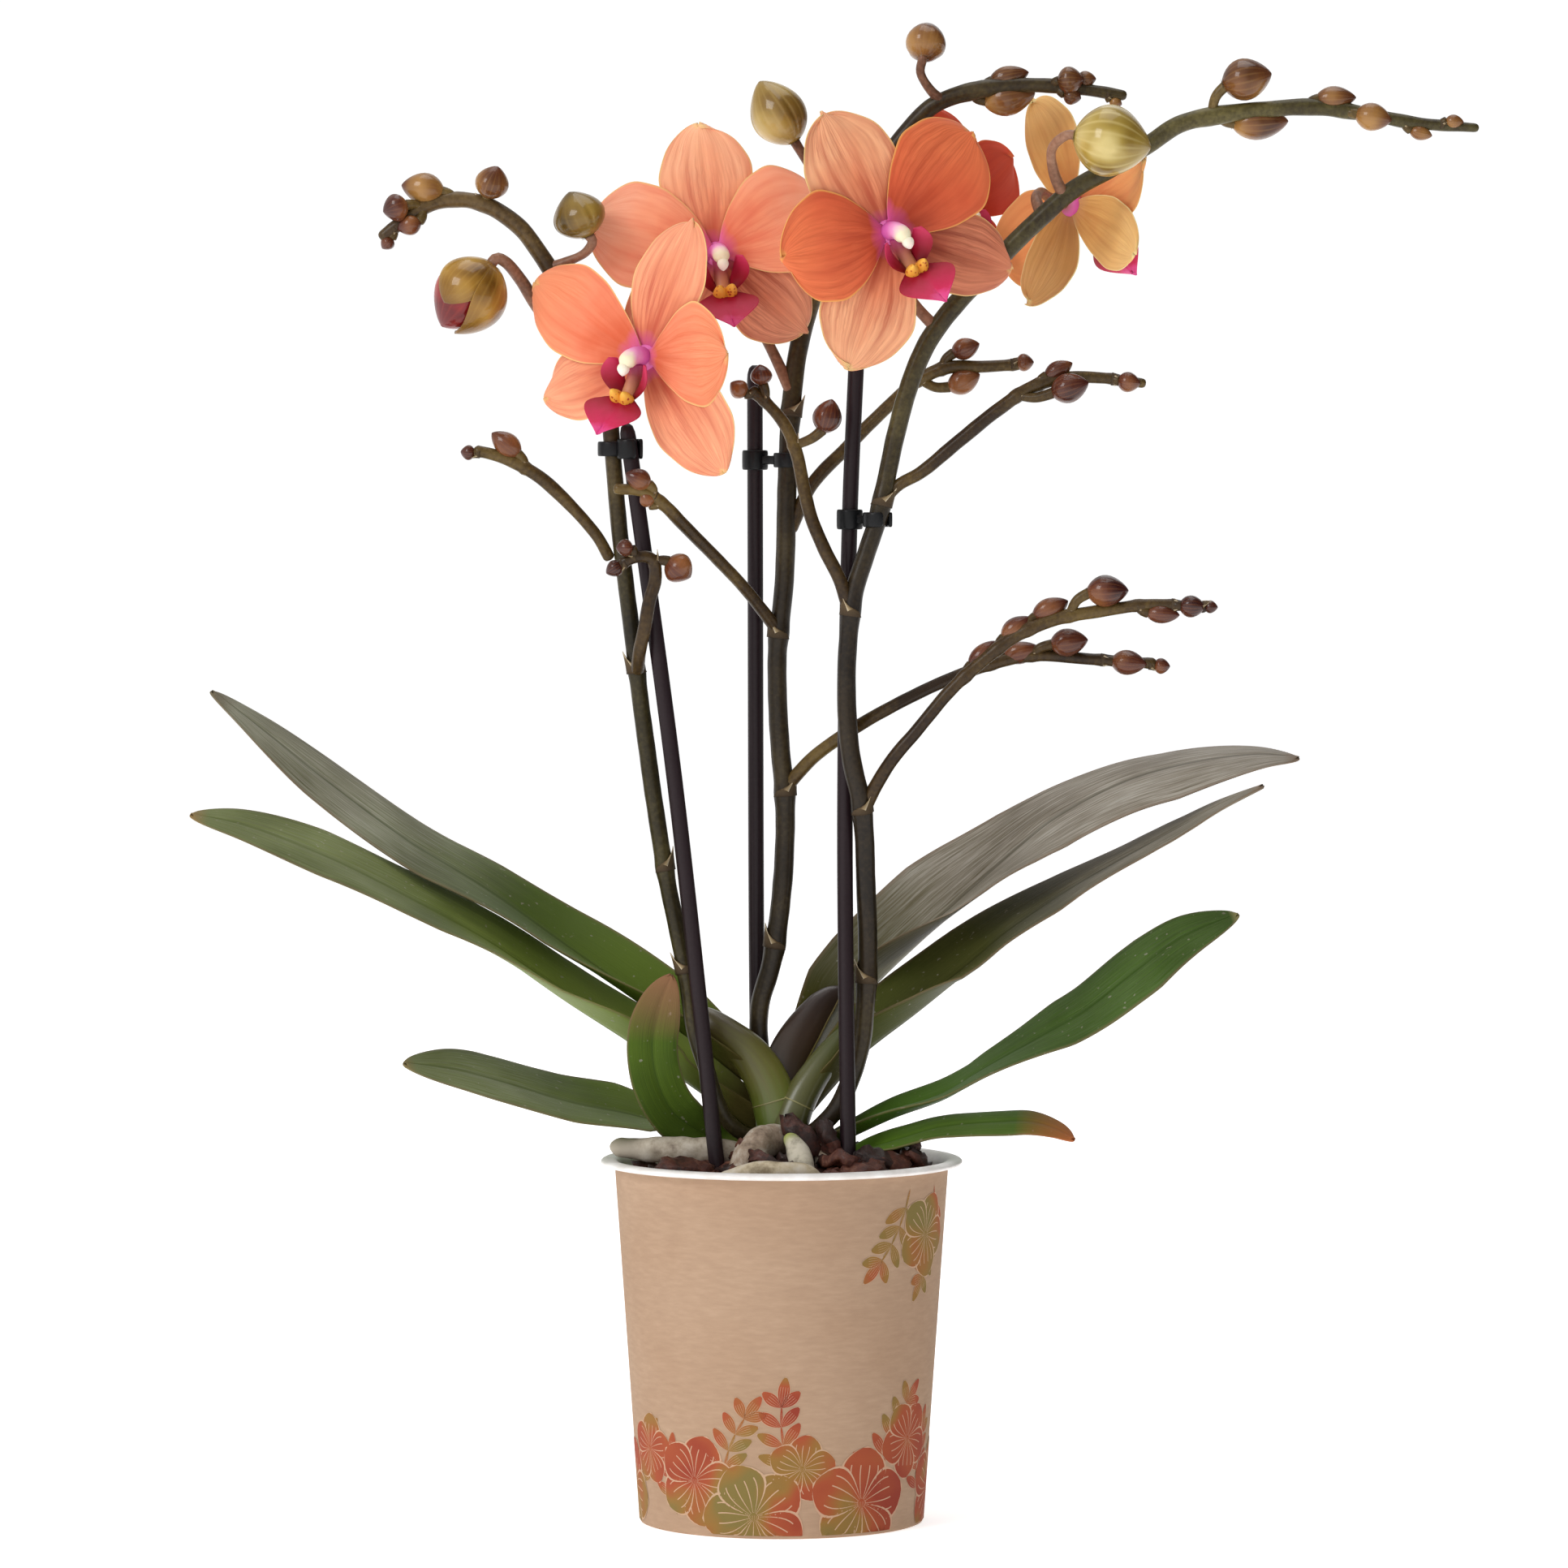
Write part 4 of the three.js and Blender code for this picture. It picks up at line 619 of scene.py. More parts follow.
def print_ink():
    """Water-based ink on kraft: terracotta above, olive below, with the petals' veins left bare."""
    material, add = start_material("print_ink", roughness=0.8, specular_ior_level=0.25)
    _, along, across, aside = blade_places(add)
    wash = add("TexNoise", add("TexCoord", out="Object"), per_mm(22), 2.0)
    ink = add("ValToRGB", wash, stops=(
        (0.36, "#7C6C3A"), (0.46, "#906A34"), (0.56, "#A04E30"), (0.7, "#903A2A"),
    ))
    # Four bare veins run up each petal, between its bare edges
    saw = add("Math", add("Math", across, 5.0, operation="MULTIPLY"), 0.5, operation="PINGPONG")
    line = add("Math", saw, 0.055, operation="LESS_THAN")
    inner = add("Math", along, 0.66, operation="LESS_THAN")
    veins = add("Math", line, inner, operation="MULTIPLY")
    side_edge = add("Math", aside, 0.455, operation="GREATER_THAN")
    end_edge = add("Math", along, 0.965, operation="GREATER_THAN")
    edge = add("Math", side_edge, end_edge, operation="MAXIMUM")
    bare = add("Math", add("Math", veins, edge, operation="MAXIMUM"), 0.85, operation="MULTIPLY")
    return finish_material(material, ink, (bare, "#C6A488"))


def pine_bark():
    """Composted pine bark: dark red-brown, flaky and dull, with paler broken edges."""
    material, add = start_material(
        "pine_bark", roughness=0.55, specular_ior_level=0.4, coat_weight=0.15, coat_roughness=0.2
    )
    place = add("TexCoord", out="Object")
    patches = add("TexVoronoi", place, per_mm(11), out="Color")
    grain = add("TexNoise", place, per_mm(2.2), 8.0, 0.7)
    shade = add("ValToRGB", add("Mix", 0.62, patches, grain), stops=(
        (0.25, "#140806"), (0.45, "#32170F"), (0.6, "#562B1E"), (0.82, "#966C54"),
    ))
    return finish_material(material, shade, height=grain, strength=0.8, depth=0.7)


def root_velamen(name, dark, pale, tip):
    """The spongy skin of an air root: silver-white and matt where dry, brown where bruised."""
    material, add = start_material(name, roughness=0.7, specular_ior_level=0.35)
    mottle = add("TexNoise", add("TexCoord", out="Object"), per_mm(5), 6.0, 0.65)
    shade = add("ValToRGB", mottle, stops=((0.33, dark), (0.5, pale), (0.74, "#D2CABC")))
    along = add("SeparateXYZ", add("TexCoord", out="UV"))
    near_tip = add("ValToRGB", along, stops=((0.74, 0.0), (0.9, 0.9)))
    return finish_material(material, shade, (near_tip, tip), height=mottle, strength=0.3, depth=0.4)


def leaf_skin(name, dark, light, tip, tip_from, painted_sheen, painted_sheen_from, young):
    """A thick leaf: parallel veins under a smooth cuticle, a painted sheen of reflected light streaked
    over its outer part and dotted with real dust, a thin brown margin, and paler young tissue toward its
    base."""
    material, add = start_material(
        name, roughness=0.5, specular_ior_level=0.07, coat_weight=0.02, coat_roughness=0.25
    )
    place = add("TexCoord", out="Object")
    uv, along, _, aside = blade_places(add)
    # 46 veins over a width of 32 mm are 0.7 mm apart, and the streaks of painted sheen are a little finer
    veins = add("TexNoise", add("Mapping", uv, Scale=(3.0, 46.0, 1.0)), 1.0, 3.0)
    patches = add("TexNoise", place, per_mm(38), 3.0)
    green = add("ValToRGB", add("Mix", 0.4, patches, veins), stops=((0.38, dark), (0.62, light)))
    youth = add("ValToRGB", along, stops=((0.25, 0.8), (0.62, 0.0)))
    rib = add("ValToRGB", aside, stops=((0.0, 0.5), (0.012, 0.45), (0.03, 0.0)))
    rim = add("ValToRGB", aside, stops=((0.462, 0.0), (0.49, 0.5)))
    dots = add("ValToRGB", add("TexNoise", place, per_mm(1.6), 1.0), stops=((0.7, 0.0), (0.76, 0.45)))
    # Painted sheen: grey streaks of reflected light over the outer part of the blade, with real dust dots
    # on top
    sheen_streaks = add("TexNoise", add("Mapping", uv, Scale=(9.0, 60.0, 1.0)), 1.0, 7.0, 0.7)
    sheen_pattern = add("Mix", 0.65, patches, sheen_streaks)
    painted_sheen_mask = add("ValToRGB", sheen_pattern, stops=((0.4, 0.7 * painted_sheen), (0.6, painted_sheen)))
    sheen_tone = add("ValToRGB", sheen_pattern, stops=((0.38, "#75685C"), (0.5, "#A49A8E"), (0.62, "#CAC4BA")))
    outward = add("MapRange", along, painted_sheen_from - 0.14, painted_sheen_from + 0.14)
    sheen_and_dust = add("Math", add("Math", painted_sheen_mask, outward, operation="MULTIPLY"), dots, operation="MAXIMUM")
    dry = add("ValToRGB", along, stops=((tip_from, 0.0), (0.5 + 0.5 * tip_from, 0.55), (1.0, 0.95)))
    clasping = add("ValToRGB", along, stops=((0.07, 1.0), (0.2, 0.0)))
    return finish_material(
        material, green, (youth, young), (sheen_and_dust, sheen_tone), (rib, dark), (rim, "#7C6650"), (dry, tip),
        (clasping, "#524A24"), height=veins, strength=0.25, depth=0.4,
    )


def stem_skin(name, low, high):
    """A waxy flower stem: brown over green, finely speckled and glossy, and paler towards its top.
    Low and high are (dark, middle, light) tones for the foot and the top."""
    material, add = start_material(
        name, roughness=0.36, specular_ior_level=0.22, coat_weight=0.06, coat_roughness=0.2
    )
    place = add("TexCoord", out="Object")
    # The speckles are finer in life and are drawn 1.2 mm wide to show
    speckle = add("TexNoise", place, per_mm(1.2), 2.0, 0.5)
    mottle = add("Mix", 0.3, add("TexNoise", place, per_mm(24), 2.0), speckle)
    foot, top = (add("ValToRGB", mottle, stops=[*zip((0.36, 0.52, 0.7), tones)]) for tones in (low, high))
    risen = add("MapRange", add("SeparateXYZ", place, out="Z"), 0.25, 0.35)
    return finish_material(material, foot, (risen, top), height=speckle, strength=0.08)


def leaf_sheath(name, low, middle, high):
    """A leaf's clasping base: taut and glossy, green low down and flushed brown towards the leaf."""
    material, add = start_material(
        name, roughness=0.36, specular_ior_level=0.45, coat_weight=0.3, coat_roughness=0.22
    )
    uv = add("TexCoord", out="UV")
    # Twelve streaks up each half of a sheath are about 1.4 mm apart
    streaks = add("TexNoise", add("Mapping", uv, Scale=(2.0, 12.0, 1.0)), 1.0, 3.0)
    along = add("Math", streaks, 0.3, add("SeparateXYZ", uv), operation="MULTIPLY_ADD")
    shade = add("ValToRGB", along, stops=((0.45, low), (0.72, middle), (0.98, high)))
    return finish_material(material, shade, height=streaks, strength=0.1)


def dry_bract():
    """The papery scale at a stem's joint: thin, dry and straw-brown."""
    material, add = start_material("dry_bract", roughness=0.7, specular_ior_level=0.3)
    along = add("SeparateXYZ", add("TexCoord", out="UV"))
    return finish_material(material, add("ValToRGB", along, stops=(
        (0.0, "#3E3020"), (0.72, "#5C4A30"), (0.92, "#9A8664"), (1.0, "#CDBEA4"),
    )))


def bud_skin(name, dark, middle, light, ribs, tip=None):
    """Closed sepals: a taut waxy skin with pale ribs from the stalk and a darker tip."""
    material, add = start_material(
        name, roughness=0.34, specular_ior_level=0.2, coat_weight=0.5, coat_roughness=0.07
    )
    along, around = (add("SeparateXYZ", add("TexCoord", out="UV"), out=axis) for axis in "XY")
    cloud = add("TexNoise", add("TexCoord", out="Object"), per_mm(12), 1.5, 0.5)
    shade = add("ValToRGB", cloud, stops=((0.34, dark), (0.5, middle), (0.68, light)))
    # V runs up and down again, so these are 18 ribs round the bud
    saw = add("Math", add("Math", around, 9.0, operation="MULTIPLY"), 0.5, operation="PINGPONG")
    rib = add("ValToRGB", saw, stops=((0.0, ribs), (0.22, 0.0)))
    near_tip = add("ValToRGB", along, stops=((0.55, 0.0), (0.95, 0.8)))
    return finish_material(
        material, shade, (rib, light), (near_tip, tip or dark), height=saw, strength=0.16, depth=0.3
    )


def moulded_plastic(name, code, rough, size):
    """Injection-moulded or extruded plastic: even colour, a slight grain and a clean gloss."""
    material, add = start_material(name, roughness=rough, specular_ior_level=0.22)
    # The grain is finer in life and is drawn 0.9 to 1.5 mm wide to show
    grain = add("TexNoise", add("TexCoord", out="Object"), per_mm(size), 4.0, 0.6)
    base = tone(code)
    lifted = (*(min(part * 1.35 + 0.004, 1.0) for part in base[:3]), 1.0)
    return finish_material(material, base, (grain, lifted), height=grain, strength=0.12, depth=0.1)


def petal_skin(name, deep, middle, pale, margin, heart, vein, keel=0.1):
    """A petal: soft, velvety cells with radiating strokes and veins, a pale margin and a pink heart.
    Keel is how much deeper the middle is than the sides."""
    material, add = start_material(
        name, roughness=0.6, specular_ior_level=0.25, sheen_weight=0.1, sheen_roughness=0.5,
        subsurface_weight=0.12, subsurface_scale=0.0015,
    )
    uv, along, across, aside = blade_places(add)
    cloud = add("TexNoise", add("TexCoord", out="Object"), per_mm(15), 3.0)
    keeled = add("Math", aside, keel, add("Mix", 0.5, cloud, along), operation="MULTIPLY_ADD")
    shade = add("ValToRGB", keeled, stops=((0.24, deep), (0.46, middle), (0.72, pale)))
    wander = add("TexNoise", add("Mapping", uv, Scale=(2.2, 1.0, 1.0)), 3.5, 3.0)
    # Twelve wavering veins, with rows of cells between them drawn 0.4 mm wide to show
    shifted = add("Math", wander, 0.06, across, operation="MULTIPLY_ADD")
    saw = add("Math", add("Math", shifted, 12.0, operation="MULTIPLY"), 0.5, operation="PINGPONG")
    line = add("ValToRGB", saw, stops=((0.0, 0.85 * vein), (0.2, 0.0)))
    cells = add("TexNoise", add("Mapping", uv, Scale=(4.0, 70.0, 1.0)), 1.0, 2.0)
    fine = add("ValToRGB", cells, stops=((0.45, 0.0), (0.75, vein)))
    fading = add("MapRange", cloud, 0.4, 0.6, 0.15, 1.0)
    lines = add("Math", add("Math", line, fine, operation="MAXIMUM"), fading, operation="MULTIPLY")
    # Nine broad strokes over a width of 31 mm are about 3.5 mm apart
    broad = add("Mapping", uv, Location=(0.0, 3.0, 0.0), Scale=(1.4, 9.0, 1.0))
    stroke = add("ValToRGB", add("TexNoise", broad, 1.0, 2.5), stops=((0.42, 0.0), (0.66, 1.4 * vein)))
    fresh = add("ValToRGB", along, stops=((0.2, 1.0), (0.95, 0.3)))
    flame = add("Math", stroke, fresh, operation="MULTIPLY")
    side_edge = add("ValToRGB", aside, stops=((0.478, 0.0), (0.498, 0.8)))
    end_edge = add("ValToRGB", along, stops=((0.985, 0.0), (0.999, 0.6)))
    edge = add("Math", side_edge, end_edge, operation="MAXIMUM")
    near = add("Math", wander, 0.12, along, operation="MULTIPLY_ADD")
    glow = add("ValToRGB", near, stops=((0.08, 0.95), (0.14, 0.5), (0.22, 0.0)))
    return finish_material(
        material, shade, (lines, deep), (flame, deep), (edge, margin), (glow, heart), height=lines
    )


def lip_skin(name, stops, spots=None):
    """Lip, column and hub: thick waxy tissue, shaded along its length, with a moist gloss."""
    material, add = start_material(
        name, roughness=0.46, specular_ior_level=0.25, coat_weight=0.06, coat_roughness=0.3,
        subsurface_weight=0.1, subsurface_scale=0.0012,
    )
    place = add("TexCoord", out="Object")
    cloud = add("TexNoise", place, per_mm(2.4), 4.0)
    along = add("SeparateXYZ", add("TexCoord", out="UV"))
    shade = add("ValToRGB", add("Math", cloud, 0.22, along, operation="MULTIPLY_ADD"), stops=stops)
    layers = []
    if spots:
        dots = add("TexVoronoi", place, per_mm(1.3))
        layers.append((add("ValToRGB", dots, stops=((0.22, 0.9), (0.34, 0.0))), spots))
    return finish_material(material, shade, *layers, height=cloud)


def studio_floor():
    """A seamless white studio sweep, matt enough to hold only a soft shadow."""
    material, add = start_material(
        "studio_floor", roughness=0.9, specular_ior_level=0.1, emission_color=tone("#FFFFFF"),
        emission_strength=0.62,
    )
    cloud = add("TexNoise", add("TexCoord", out="Object"), per_mm(400))
    return finish_material(material, add("ValToRGB", cloud, stops=((0.3, "#F6F5F4"), (0.7, "#FBFAFA"))))


# Pot
def fill_in(profile, gap=1.6):
    """The same profile with points no further apart than a gap."""
    filled = [profile[0]]
    for start, end in zip(profile, profile[1:]):
        count = max(int(math.dist(start, end) / gap), 1)
        filled += [
            (start[0] + (end[0] - start[0]) * i / count, start[1] + (end[1] - start[1]) * i / count)
            for i in range(1, count + 1)
        ]
    return filled


def pot_radius(height):
    """The outer radius of the sleeve's wall."""
    share = height / (POT["height"] - 2.6)
    return POT["foot"] + (POT["shoulder"] - POT["foot"]) * share


def build_pot():
    """The sleeve with its rolled rim and its lining."""
    height, rim, shoulder, foot, wall = POT.values()
    roll_wide, roll_high = 1.9, 0.95
    under = height - 2 * roll_high
    outside = fill_in([
        (foot - wall, 0), (foot - 0.8, 0), (foot - 0.25, 0.2), (foot, 0.8), (shoulder, under - 0.1),
    ])
    lip = [(shoulder + 0.1, under + 0.05), (rim - 2.0, under + 0.02)]
    for turn in (math.radians(angle) for angle in range(-80, 95, 12)):
        lip.append((rim - roll_wide * (1 - math.cos(turn)), height - roll_high * (1 - math.sin(turn))))
    lip += [(rim - 3.0, height - 0.05), (shoulder - 0.2, height - 0.35), (shoulder - 0.8, height - 1.0)]
    lining = fill_in([(shoulder - wall, under - 0.6), (foot - wall, 0.05), (foot - wall, 0)], 3)
    skins = (turned_skin(profile, 144) for profile in (outside, [outside[-1]] + lip + lining))
    make_piece("printed_pot", [*zip(skins, (0, 1))], [kraft_paper(), coated_card()], "kraft_paper",
               ["pot_wall"])


# The print: simple five-petal blossoms and leaf sprigs, a hair proud of the paper
def on_pot(turn, height, proud):
    """A point on the sleeve. A turn of 0 faces the front, and a positive one is to the right."""
    height = max(height, 0.9)
    radius = pot_radius(height) + proud
    angle = math.radians(turn) - math.pi / 2
    return Vector((radius * math.cos(angle), radius * math.sin(angle), height))


def printed_shape(turn, height, angle, length, width, peak, proud=0.03, rows=12, columns=10):
    """A flat petal or leaf from its base, with its angle clockwise from upright."""
    lean = math.radians(angle)
    along, across = Vector((math.sin(lean), math.cos(lean))), Vector((math.cos(lean), -math.sin(lean)))
    points, uvs = [], []
    for u in (row / rows for row in range(rows + 1)):
        half = 0.5 * width * math.sin(math.pi * min(u**peak, 1)) ** 0.75
        for v in (2 * column / columns - 1 for column in range(columns + 1)):
            spot = along * (length * u) + across * (half * v)
            degrees = math.degrees(spot.x / pot_radius(height))
            points.append(on_pot(turn + degrees, height + spot.y, proud))
            uvs.append((u, (v + 1) / 2))
    return points, grid_faces(rows, columns), uvs


def blossom(turn, height, size, spin, layer):
    """Five rounded petals that overlap in turn, and a small round eye."""
    petals = [
        printed_shape(turn, height, spin + 72 * number, size, 0.94 * size, 1.3, layer + 0.003 * number)
        for number in range(5)
    ]
    eye = printed_shape(turn, height - 0.09 * size, 0, 0.18 * size, 0.18 * size, 1, layer + 0.018)
    return petals + [eye]


def sprig(turn, height, spin, leaves, size):
    """A stalk of short strips, each bent a little further, with leaves in pairs and one at its end."""
    parts, bend, strip = [], 7, 0.62 * size
    for number in range(leaves):
        angle = spin + bend * number
        lean = math.radians(angle)
        parts.append(printed_shape(turn, height, angle, strip * 1.12, 0.8, 0.9, 0.025, 6, 2))
        turn += math.degrees(strip * math.sin(lean) / pot_radius(height))
        height += strip * math.cos(lean)
        for side in (-52, 48):
            long = size * (1 - 0.07 * number)
            parts.append(printed_shape(turn, height, angle + side, long, 0.4 * size, 1.1))
    parts.append(printed_shape(turn, height, spin + bend * leaves, size, 0.4 * size, 1.1))
    return parts


def build_print():
    parts = []
    sprigs = (
        (-24, 14, 10, 4, 8), (5, 15, -20, 4, 8.5), (20, 4, 24, 3, 8), (42, 16, 16, 4, 8.5),
        (70, 6, -12, 4, 8), (99, 8, 16, 4, 8), (130, 5, -18, 4, 8), (163, 9, 12, 3, 8.5),
        (-168, 5, -16, 4, 8), (-134, 8, 14, 4, 8), (-102, 6, -14, 3, 8), (-72, 8, 12, 4, 7.5),
        (-46, 5, -12, 3, 8),
        (50, 93, 196, 4, 8.5), (66, 93, 176, 5, 8), (-140, 93, 168, 4, 8.5), (152, 93, 190, 4, 8),
    )
    for turn, height, spin, leaves, size in sprigs:
        parts += sprig(turn, height, spin, leaves, size)
    groups = (
        (-36, 15, 13, 20), (-11, 6, 15, 50), (8, 19, 9.5, 10), (33, 9, 15.5, 5), (57, 25, 11, 40),
        (84, 10, 14, 12), (112, 20, 10, 33), (146, 10, 15, 60), (176, 17, 11, 15),
        (-152, 9, 14, 45), (-120, 20, 10.5, 5), (-88, 10, 15, 30), (-62, 22, 10, 10),
        (61, 80, 12, 25), (-134, 82, 11, 40), (146, 80, 11, 5),
    )
    for number, (turn, height, size, spin) in enumerate(groups):
        parts += blossom(turn, height, size, spin, 0.035 + 0.02 * (number % 2))
    drawn = make_piece("pot_print", [(part, 0) for part in parts], [print_ink()], "kraft_paper")
    drawn.data.flip_normals()


# Bark
def bark_chip(at, size, turns, layers):
    """A torn flake of bark: a rounded slab with stepped layers and frayed ends."""
    spin = Euler(turns).to_matrix()
    length, width, depth = size
    rings = []
    count, sides = 9, 14
    for u in (2 * row / count - 1 for row in range(count + 1)):
        taper = max(1 - abs(u) ** 5, 0.06) ** 0.5
        circle = []
        for turn in full_turn(sides):
            y = signed_power(math.cos(turn), 0.45) * width / 2 * taper
            z = signed_power(math.sin(turn), 0.45) * depth / 2 * (0.55 + 0.45 * taper)
            fray = noise.noise(Vector((y * 0.9, z * 1.4, layers)))
            x = u * length / 2 + fray * length * 0.16 * abs(u)
            step = noise.noise(Vector((x * 0.35, y * 0.35, layers + 5)))
            z += round(step * 3) / 3 * depth * 0.5 + noise.noise(Vector((x, y, layers))) * 0.35
            circle.append(at + spin @ Vector((x, y, z)))
        rings.append(circle)
    return rings_skin(rings)


def build_bark():
    edge, mound, radius = MULCH["edge"], MULCH["mound"], MULCH["radius"]
    plug = [(0.2, 3.6), (32, 3.6), (40, 88), (41.3, 90), (radius, edge - 1.5)]
    plug += [(radius - 4 * i, edge - 1.0 + (mound - edge + 0.4) * i / 9.5) for i in range(1, 10)]
    plug.append((0.2, mound - 0.4))
    points, faces, uvs = turned_skin(fill_in(plug, 4), 64)
    points = [p + Vector((0, 0, 1.3 * noise.noise(p * 0.16))) if p.z > 88 else p for p in points]
    parts = [((points, faces, uvs), 0)]
    placed = (
        ((-1.5, -23.5, 98.6), (16, 7, 3.6), (0.3, -0.35, 2.9)),
        ((5.6, -12.5, 105.4), (15, 6.5, 3.4), (0.5, 0.75, -0.5)),
        ((12.3, -15.5, 104.6), (12, 7.5, 4.2), (0.2, 1.2, 0.6)),
        ((15.5, -21, 99.4), (14, 8, 3.6), (0.5, 0.2, 2.3)),
        ((27, -17, 99.6), (15, 8, 3.6), (0.35, 0.2, 0.25)),
        ((36, -9, 98.6), (12, 7, 3.4), (0.2, 0.5, 1.2)),
        ((33, 6, 100.4), (14, 8, 3.8), (-0.2, 0.35, 1.9)),
        ((24, 0, 100.2), (13, 8, 3.6), (0.1, 0.1, 0.8)),
        ((22, -26, 97.4), (13, 7, 3.4), (0.4, -0.1, 0.5)),
        ((-26, -22, 98.0), (15, 8, 3.4), (0.3, 0.1, 0.3)),
        ((-9, -14, 102), (9, 6, 3), (0.4, 0.4, 1.2)),
    )
    for at, size, turns in placed:
        parts.append((bark_chip(Vector(at), size, turns, RANDOM.uniform(0, 90)), 0))
    loose, golden_angle = 150, math.radians(137.5)
    for number in range(loose):
        away = (radius - 5.5) * math.sqrt((number + 0.5) / loose)
        turn = number * golden_angle
        rise = mound + (edge - mound) * (away / radius) ** 1.4
        at = Vector((away * math.cos(turn), away * math.sin(turn), rise + RANDOM.uniform(-0.6, 1.6)))
        long = RANDOM.uniform(6, 12.5)
        size = (long, long * RANDOM.uniform(0.4, 0.65), RANDOM.uniform(2, 3.4))
        turns = (RANDOM.uniform(-0.6, 0.6), RANDOM.uniform(-0.45, 0.45), RANDOM.uniform(0, 6.28))
        parts.append((bark_chip(at, size, turns, RANDOM.uniform(0, 90)), 0))
    make_piece("bark_chips", parts, [pine_bark()], "bark", ["bark"])


# The crown and the roots
def sheath(curve, wide, deep, first=0.0, last=1.0, proud=0.0, rows=40):
    """An arm of the crown: an oval tube that closes inside the fold of its leaf."""
    rings, back = [], Vector((0, 1, 0))
    for row in range(rows + 1):
        share = first + (last - first) * row / rows
        along = curve.along(share)
        beside = (back - along * back.dot(along)).normalized()
        fill = math.sqrt(max(1 - (max(share - 0.9, 0) / 0.1) ** 2, 0.01))
        half_wide, half_deep = (value_at(sizes, share) * fill + proud for sizes in (wide, deep))
        rings.append(ring(curve.at(share), beside.cross(along), beside, half_wide, half_deep, 32))
    return rings_skin(rings)


def build_crown():
    """The short stem: the bases of the leaves clasp each other and part like a fan."""
    # An arm is (route, half widths, half depths, where its scar is)
    arms = (
        (((-0.5, 3, 104), (-0.5, 4.6, 113), (0.6, 7.4, 121), (3.4, 11, 127.6), (7.6, 14.4, 133.4),
          (12.4, 18, 139), (17, 21, 143.4)),
         (5, 5.6, 6, 6, 5.8, 5, 2.4), (4, 4, 3.8, 3.4, 3, 2.4, 1.2), None),
        (((0.2, 1, 86), (0.2, 1.2, 97), (-0.4, 1.4, 106), (-2, 1.8, 114), (-4.6, 2.4, 120.5),
          (-9, 3.4, 126.8), (-14.5, 5, 131.2), (-20, 7, 134.8), (-26, 10, 138.4)),
         (5.6, 6, 6.3, 6.2, 5.8, 5.1, 4.4, 2.6), (4.6, 4.8, 4.8, 4.6, 4.2, 3.8, 3.2, 1.6), 0.43),
        (((0.5, 0.2, 90), (0.8, 0, 100), (2.2, -0.2, 107.6), (5.2, 0.6, 115), (9.6, 2.2, 121.8),
          (14.4, 4.2, 127.6), (19.5, 6.2, 132.4), (25, 8.4, 136.6)),
         (5, 5.4, 5.3, 4.7, 4.2, 3.9, 3.4, 1.6), (4.6, 5, 5, 4.4, 3.8, 3.2, 2.6, 1.2), 0.42),
    )
    parts = []
    for number, (route, wide, deep, scar) in enumerate(arms):
        curve = Route(route)
        parts.append((sheath(curve, wide, deep), number))
        if scar:
            parts.append((sheath(curve, wide, deep, scar, scar + 0.006, 0.12, 2), 3))
    make_piece("leaf_sheaths", parts, [
        leaf_sheath("sheath_purple", "#33281A", "#3C2C20", "#30221C"),
        leaf_sheath("sheath_green", "#5E7024", "#646228", "#4A4020"),
        leaf_sheath("sheath_olive", "#525224", "#525228", "#444A1E"),
        leaf_sheath("sheath_scar", "#8A8452", "#8A8452", "#8A8452"),
    ], "crown", ["crown"])


def build_roots():
    # A look is (dark, pale, tip)
    looks = {
        "root_left": ("#7A6C5C", "#AFA391", "#B9AE9E"),
        "root_middle": ("#6C5A4A", "#9C8976", "#8C7A68"),
        "root_green": ("#8C8474", "#C4BCA8", "#97A040"),
        "root_front": ("#8A7A60", "#BDAE92", "#B4A688"),
        "root_right": ("#5E4E3E", "#978672", "#8C7C68"),
    }
    for name, root in ROOTS.items():
        curve = Route(root["route"])

        def radius_at(share, radii=root["radii"], length=curve.length):
            radius = value_at(radii, share)
            past = min(min(share, 1 - share) * length / (1.4 * radius), 1)
            return radius * max(math.sqrt(1 - (1 - past) ** 2), 0.08)

        skin = tube(curve, radius_at, 24, 0.5, 0.2)
        make_piece(name + "_skin", [(skin, 0)], [root_velamen(name + "_velamen", *looks[name])],
                   "root", [name])


# Leaves
def tip_share(u):
    past = max(u - 0.8, 0) / 0.2
    return max(math.sqrt(max(1 - past * past, 0)), 0.02)


def leaf_surface(shape, ripple):
    curve = Route(shape["keel"])
    up, front = Vector(shape.get("above", (0, 0, 1))), Vector((0, -1, 0))
    frames = {}

    def frame_at(u):
        if u not in frames:
            tangent = curve.along(u)
            raised = (up - tangent * up.dot(tangent)).normalized()
            near = raised.cross(tangent)
            if near.dot(front) < 0:
                near.negate()
            roll = math.radians(value_at(shape["roll"], u))
            side = near * math.cos(roll) - raised * math.sin(roll)
            face = raised * math.cos(roll) + near * math.sin(roll)
            lift = math.radians(value_at(shape["fold"], u))
            reach = value_at(shape["widths"], u) / 2 * tip_share(u)
            frames[u] = (curve.at(u), side * (reach * math.cos(lift)), face, reach * math.sin(lift), reach)
        return frames[u]

    def surface(u, v):
        centre, side, face, rise, reach = frame_at(u)
        bend = math.sqrt(v * v + 0.008) - 0.089
        crease = -0.4 * math.exp(-((v / 0.1) ** 2)) * min(reach / 8, 1)
        wave = ripple * math.sin(11 * u + 2.2 * v) * v * v
        return centre + side * v + face * (bend * rise + crease + wave)

    return surface


